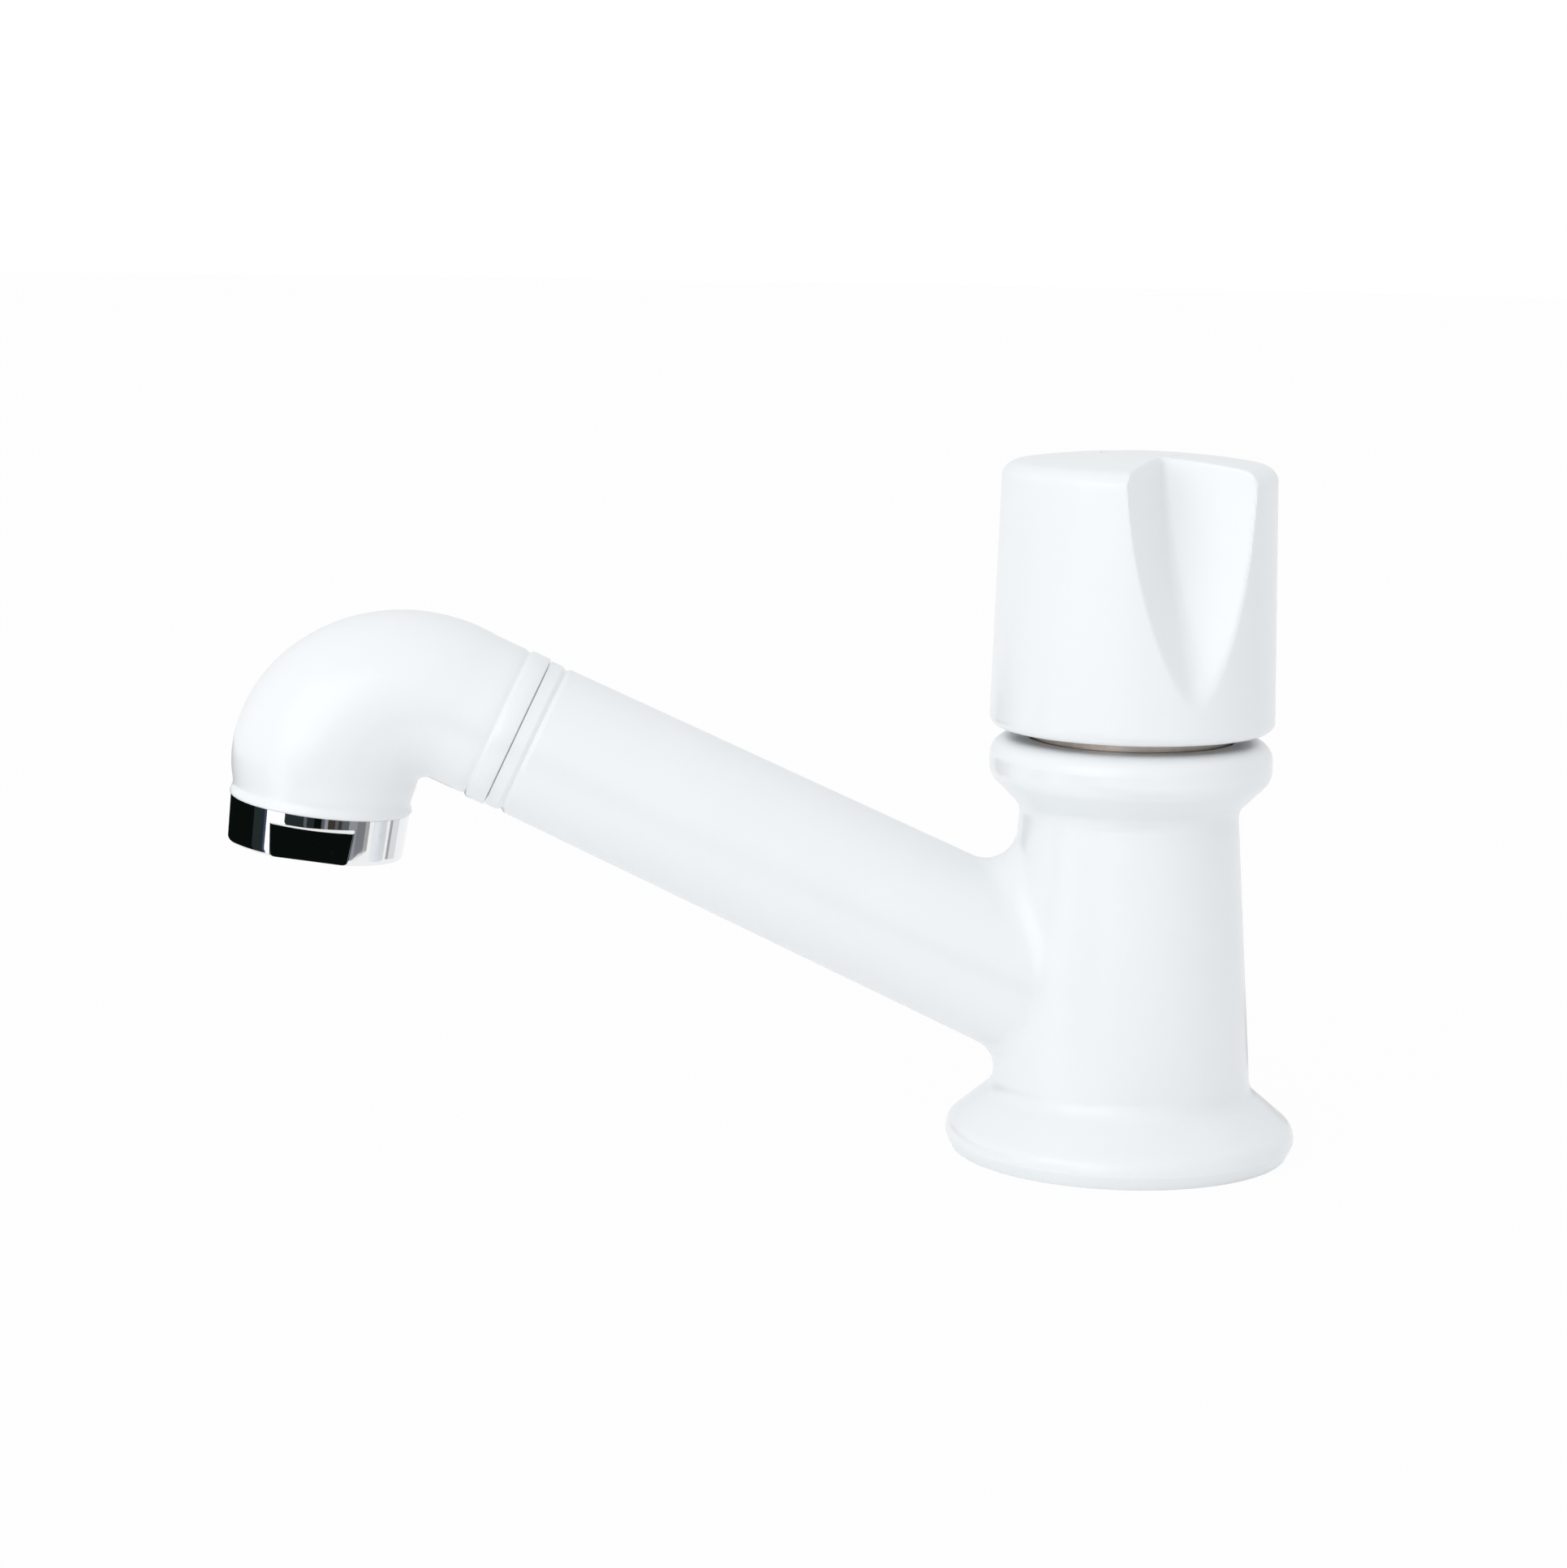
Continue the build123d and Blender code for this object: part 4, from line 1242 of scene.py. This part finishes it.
@dataclass
class Screen:
    """The low screen round the outlet whose dark and pale parts the plated ring mirrors, in metres.

    Its profile runs out over the floor, up the sill and up the side. Each sector is swept
    through its directions: middle + distance * (sin(direction), -cos(direction)) at the height.
    """

    middle: Span = (-0.116, 0.0)
    profile: Profile = ((0.115, 0.0006), (0.17, 0.0006), (0.17, 0.009), (0.17, 0.040))
    step_deg: float = 3.0
    sectors: tuple[Sector, ...] = (
        Sector("black_left", -178.0, -83.0, Tone.BLACK, Band.WHOLE),
        Sector("slate_left", -83.0, -66.0, Tone.SLATE, Band.WHOLE),
        Sector("blue_edge", -66.0, -62.5, Tone.BLUE, Band.WHOLE),
        Sector("white_gap", -62.5, -38.0, Tone.WHITE, Band.WHOLE),
        Sector("slate_front", -38.0, -14.0, Tone.SLATE, Band.WHOLE),
        Sector("grey_line", -14.0, -10.0, Tone.GREY),
        Sector("slate_line", -10.0, -1.0, Tone.SLATE),
        Sector("black_front", -1.0, 8.0, Tone.BLACK),
        Sector("grey_front", 8.0, 12.0, Tone.GREY),
        Sector("lavender_line", 12.0, 16.0, Tone.LAVENDER),
        Sector("brown_front", 16.0, 25.0, Tone.BROWN),
        Sector("grey_strip", 25.0, 29.0, Tone.GREY),
        Sector("brown_strip", 29.0, 33.5, Tone.BROWN),
        Sector("grey_right", 33.5, 43.0, Tone.GREY),
        Sector("lavender_right", 43.0, 54.0, Tone.LAVENDER),
        Sector("steel_right", 54.0, 66.0, Tone.STEEL),
        Sector("warm_right", 66.0, 72.0, Tone.WARM),
        Sector("warm_line", 108.0, 114.0, Tone.WARM),
        Sector("pale_right", 114.0, 130.0, Tone.PALE),
        Sector("black_flat", -14.0, 10.0, Tone.BLACK, Band.SIDE),
    )

    def make(self) -> None:
        """Place every sector."""
        for sector in self.sectors:
            count = max(2, int((sector.end_deg - sector.start_deg) / self.step_deg) + 1)
            turn = np.radians(np.linspace(sector.start_deg, sector.end_deg, count))
            distance, height = (line[:, None] for line in np.array(self.profile[sector.band.value]).T)
            across = self.middle[0] + distance * np.sin(turn)
            back = self.middle[1] - distance * np.cos(turn)
            points = np.stack([across, back, np.broadcast_to(height, across.shape)], axis=-1)
            faces = skin_faces(len(height), count).reshape(len(height), count, 4)[:-1, :-1]
            glowing_sheet(sector.name, points, faces, sector.tone.value)


@dataclass
class Studio:
    """Floor, world, lamp and the flat cards that the glossy white reflects, in metres."""

    middle: Triple = (-0.05, 0.0, 0.05)
    floor_radii: tuple[float, ...] = (0.0145, 0.2, 1.0, 4.0)
    floor_columns: int = 64
    floor_colour: Triple = (0.90, 0.91, 0.92)
    floor_glow: float = 0.94
    direct_rays: tuple[str, ...] = ("Camera", "Glossy", "Transmission")
    ambient: float = 0.845
    ambient_colour: Triple = (0.985, 0.995, 1.0)
    lamp_place: Triple = (-0.85, -1.15, 0.60)
    lamp_side: float = 1.30
    lamp_power: float = 5.6
    cards: tuple[Card, ...] = (
        Card("back_flag", (-0.05, 0.75, 0.55), (-0.05, 0.0, 0.05), (2.4, 1.3), (0.85, 0.86, 0.87)),
        Card("right_flag", (0.50, -0.10, 0.20), (0.0, 0.0, 0.05), (0.8, 0.5), (0.72, 0.73, 0.74), True),
    )

    def make_lamp(self) -> None:
        """Place the soft square lamp."""
        data = bpy.data.lights.new("key_lamp", "AREA")
        data.size = self.lamp_side
        data.energy = self.lamp_power
        lamp = bpy.data.objects.new("key_lamp", data)
        lamp.matrix_world = turned_to(Vector(self.lamp_place), Vector(self.middle))
        bpy.context.scene.collection.objects.link(lamp)

    def seen_directly(self, sheet: Sheet) -> Socket:
        """One for camera, glossy and transmission rays, zero for the others."""
        path = sheet.add("LightPath")
        return reduce(partial(sheet.math, "MAXIMUM"), [path[f"Is {kind} Ray"] for kind in self.direct_rays])

    def make_world(self) -> None:
        """White where it is seen, and an even cool-white level where it lights the tap."""
        world = bpy.data.worlds.new("studio")
        world.use_nodes = True
        sheet = Sheet(world.node_tree)
        seen = sheet.add("Background", (1, 1, 1, 1), 1.0)[0]
        lit = sheet.add("Background", (*self.ambient_colour, 1), self.ambient)[0]
        mixed = sheet.add("MixShader", self.seen_directly(sheet), lit, seen)[0]
        sheet.add("OutputWorld", mixed)
        bpy.context.scene.world = world

    def floor_material(self) -> Material:
        """Matt white that keeps a soft shadow, near white where it is seen, clear from below.

        Returns:
            The finished material.
        """
        material, sheet = new_material("floor_white")
        matt = sheet.add("BsdfDiffuse", (*self.floor_colour, 1))[0]
        glow = sheet.add("Emission", (1, 1, 1, 1), 1.0)[0]
        clear = sheet.add("BsdfTransparent")[0]
        share = sheet.times(self.seen_directly(sheet), self.floor_glow)
        pale = sheet.add("MixShader", share, matt, glow)[0]
        below = sheet.add("NewGeometry")["Backfacing"]
        sheet.add("OutputMaterial", sheet.add("MixShader", below, pale, clear)[0])
        return material

    def make_floor(self) -> None:
        """A flat floor on the deck plane: rings of points from the shank's hole out to the far edge."""
        columns, rings = self.floor_columns, len(self.floor_radii)
        angle = np.arange(columns) * TURN / columns
        ring = np.stack([np.cos(angle), np.sin(angle), np.zeros(columns)], axis=-1)
        points = np.array(self.floor_radii)[:, None, None] * ring
        faces = skin_faces(rings, columns)[: (rings - 1) * columns, ::-1]
        stage_sheet("floor", points, faces, self.floor_material())

    def make_cards(self) -> None:
        """Place the flat cards."""
        for card in self.cards:
            place = turned_to(Vector(card.place), Vector(card.faces))
            signs = ((-0.5, -0.5), (0.5, -0.5), (0.5, 0.5), (-0.5, 0.5))
            corners = [place @ Vector((card.size[0] * u, card.size[1] * v, 0.0)) for u, v in signs]
            glowing_sheet(card.name, np.array(corners), np.arange(4), card.colour, card.shades)


@dataclass
class Viewpoint:
    """Where the photograph was taken from, in metres and degrees, and its side in pixels."""

    place: Triple = (-0.04964, -0.52903, 0.14022)
    target: Triple = (-0.04964, 0.0, 0.05249)
    roll_deg: float = 0.9915
    image_side: float = 1932.0
    focal_pixels: float = 4608.83

    def make(self) -> None:
        """Make the camera and give it to the scene."""
        data = bpy.data.cameras.new("viewpoint")
        data.lens = self.focal_pixels / self.image_side * data.sensor_width
        camera = bpy.data.objects.new("viewpoint", data)
        pose = turned_to(Vector(self.place), Vector(self.target))
        camera.matrix_world = pose @ Matrix.Rotation(math.radians(self.roll_deg), 4, "Z")
        bpy.context.scene.collection.objects.link(camera)
        bpy.context.scene.camera = camera


def main() -> None:
    """Build the parts in order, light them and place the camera."""
    logging.basicConfig(level=logging.INFO, format="%(message)s")
    bpy.context.scene.view_settings.view_transform = "Standard"
    wardrobe = Wardrobe()
    elbow = Elbow(wardrobe)
    ring = Aerator(wardrobe, elbow.outlet_frame())
    for part in (Carried(wardrobe), elbow, ring, Knob(wardrobe), Shank(wardrobe), Backnut(wardrobe)):
        for piece in part.build():
            finish, faces = piece.active_material.name, len(piece.data.polygons)
            LOG.info("%s, %s: %s, %d faces", type(part).__name__, piece.name, finish, faces)
    studio = Studio()
    studio.make_world()
    studio.make_lamp()
    studio.make_floor()
    studio.make_cards()
    Screen().make()
    Viewpoint().make()


if __name__ == "__main__":
    main()
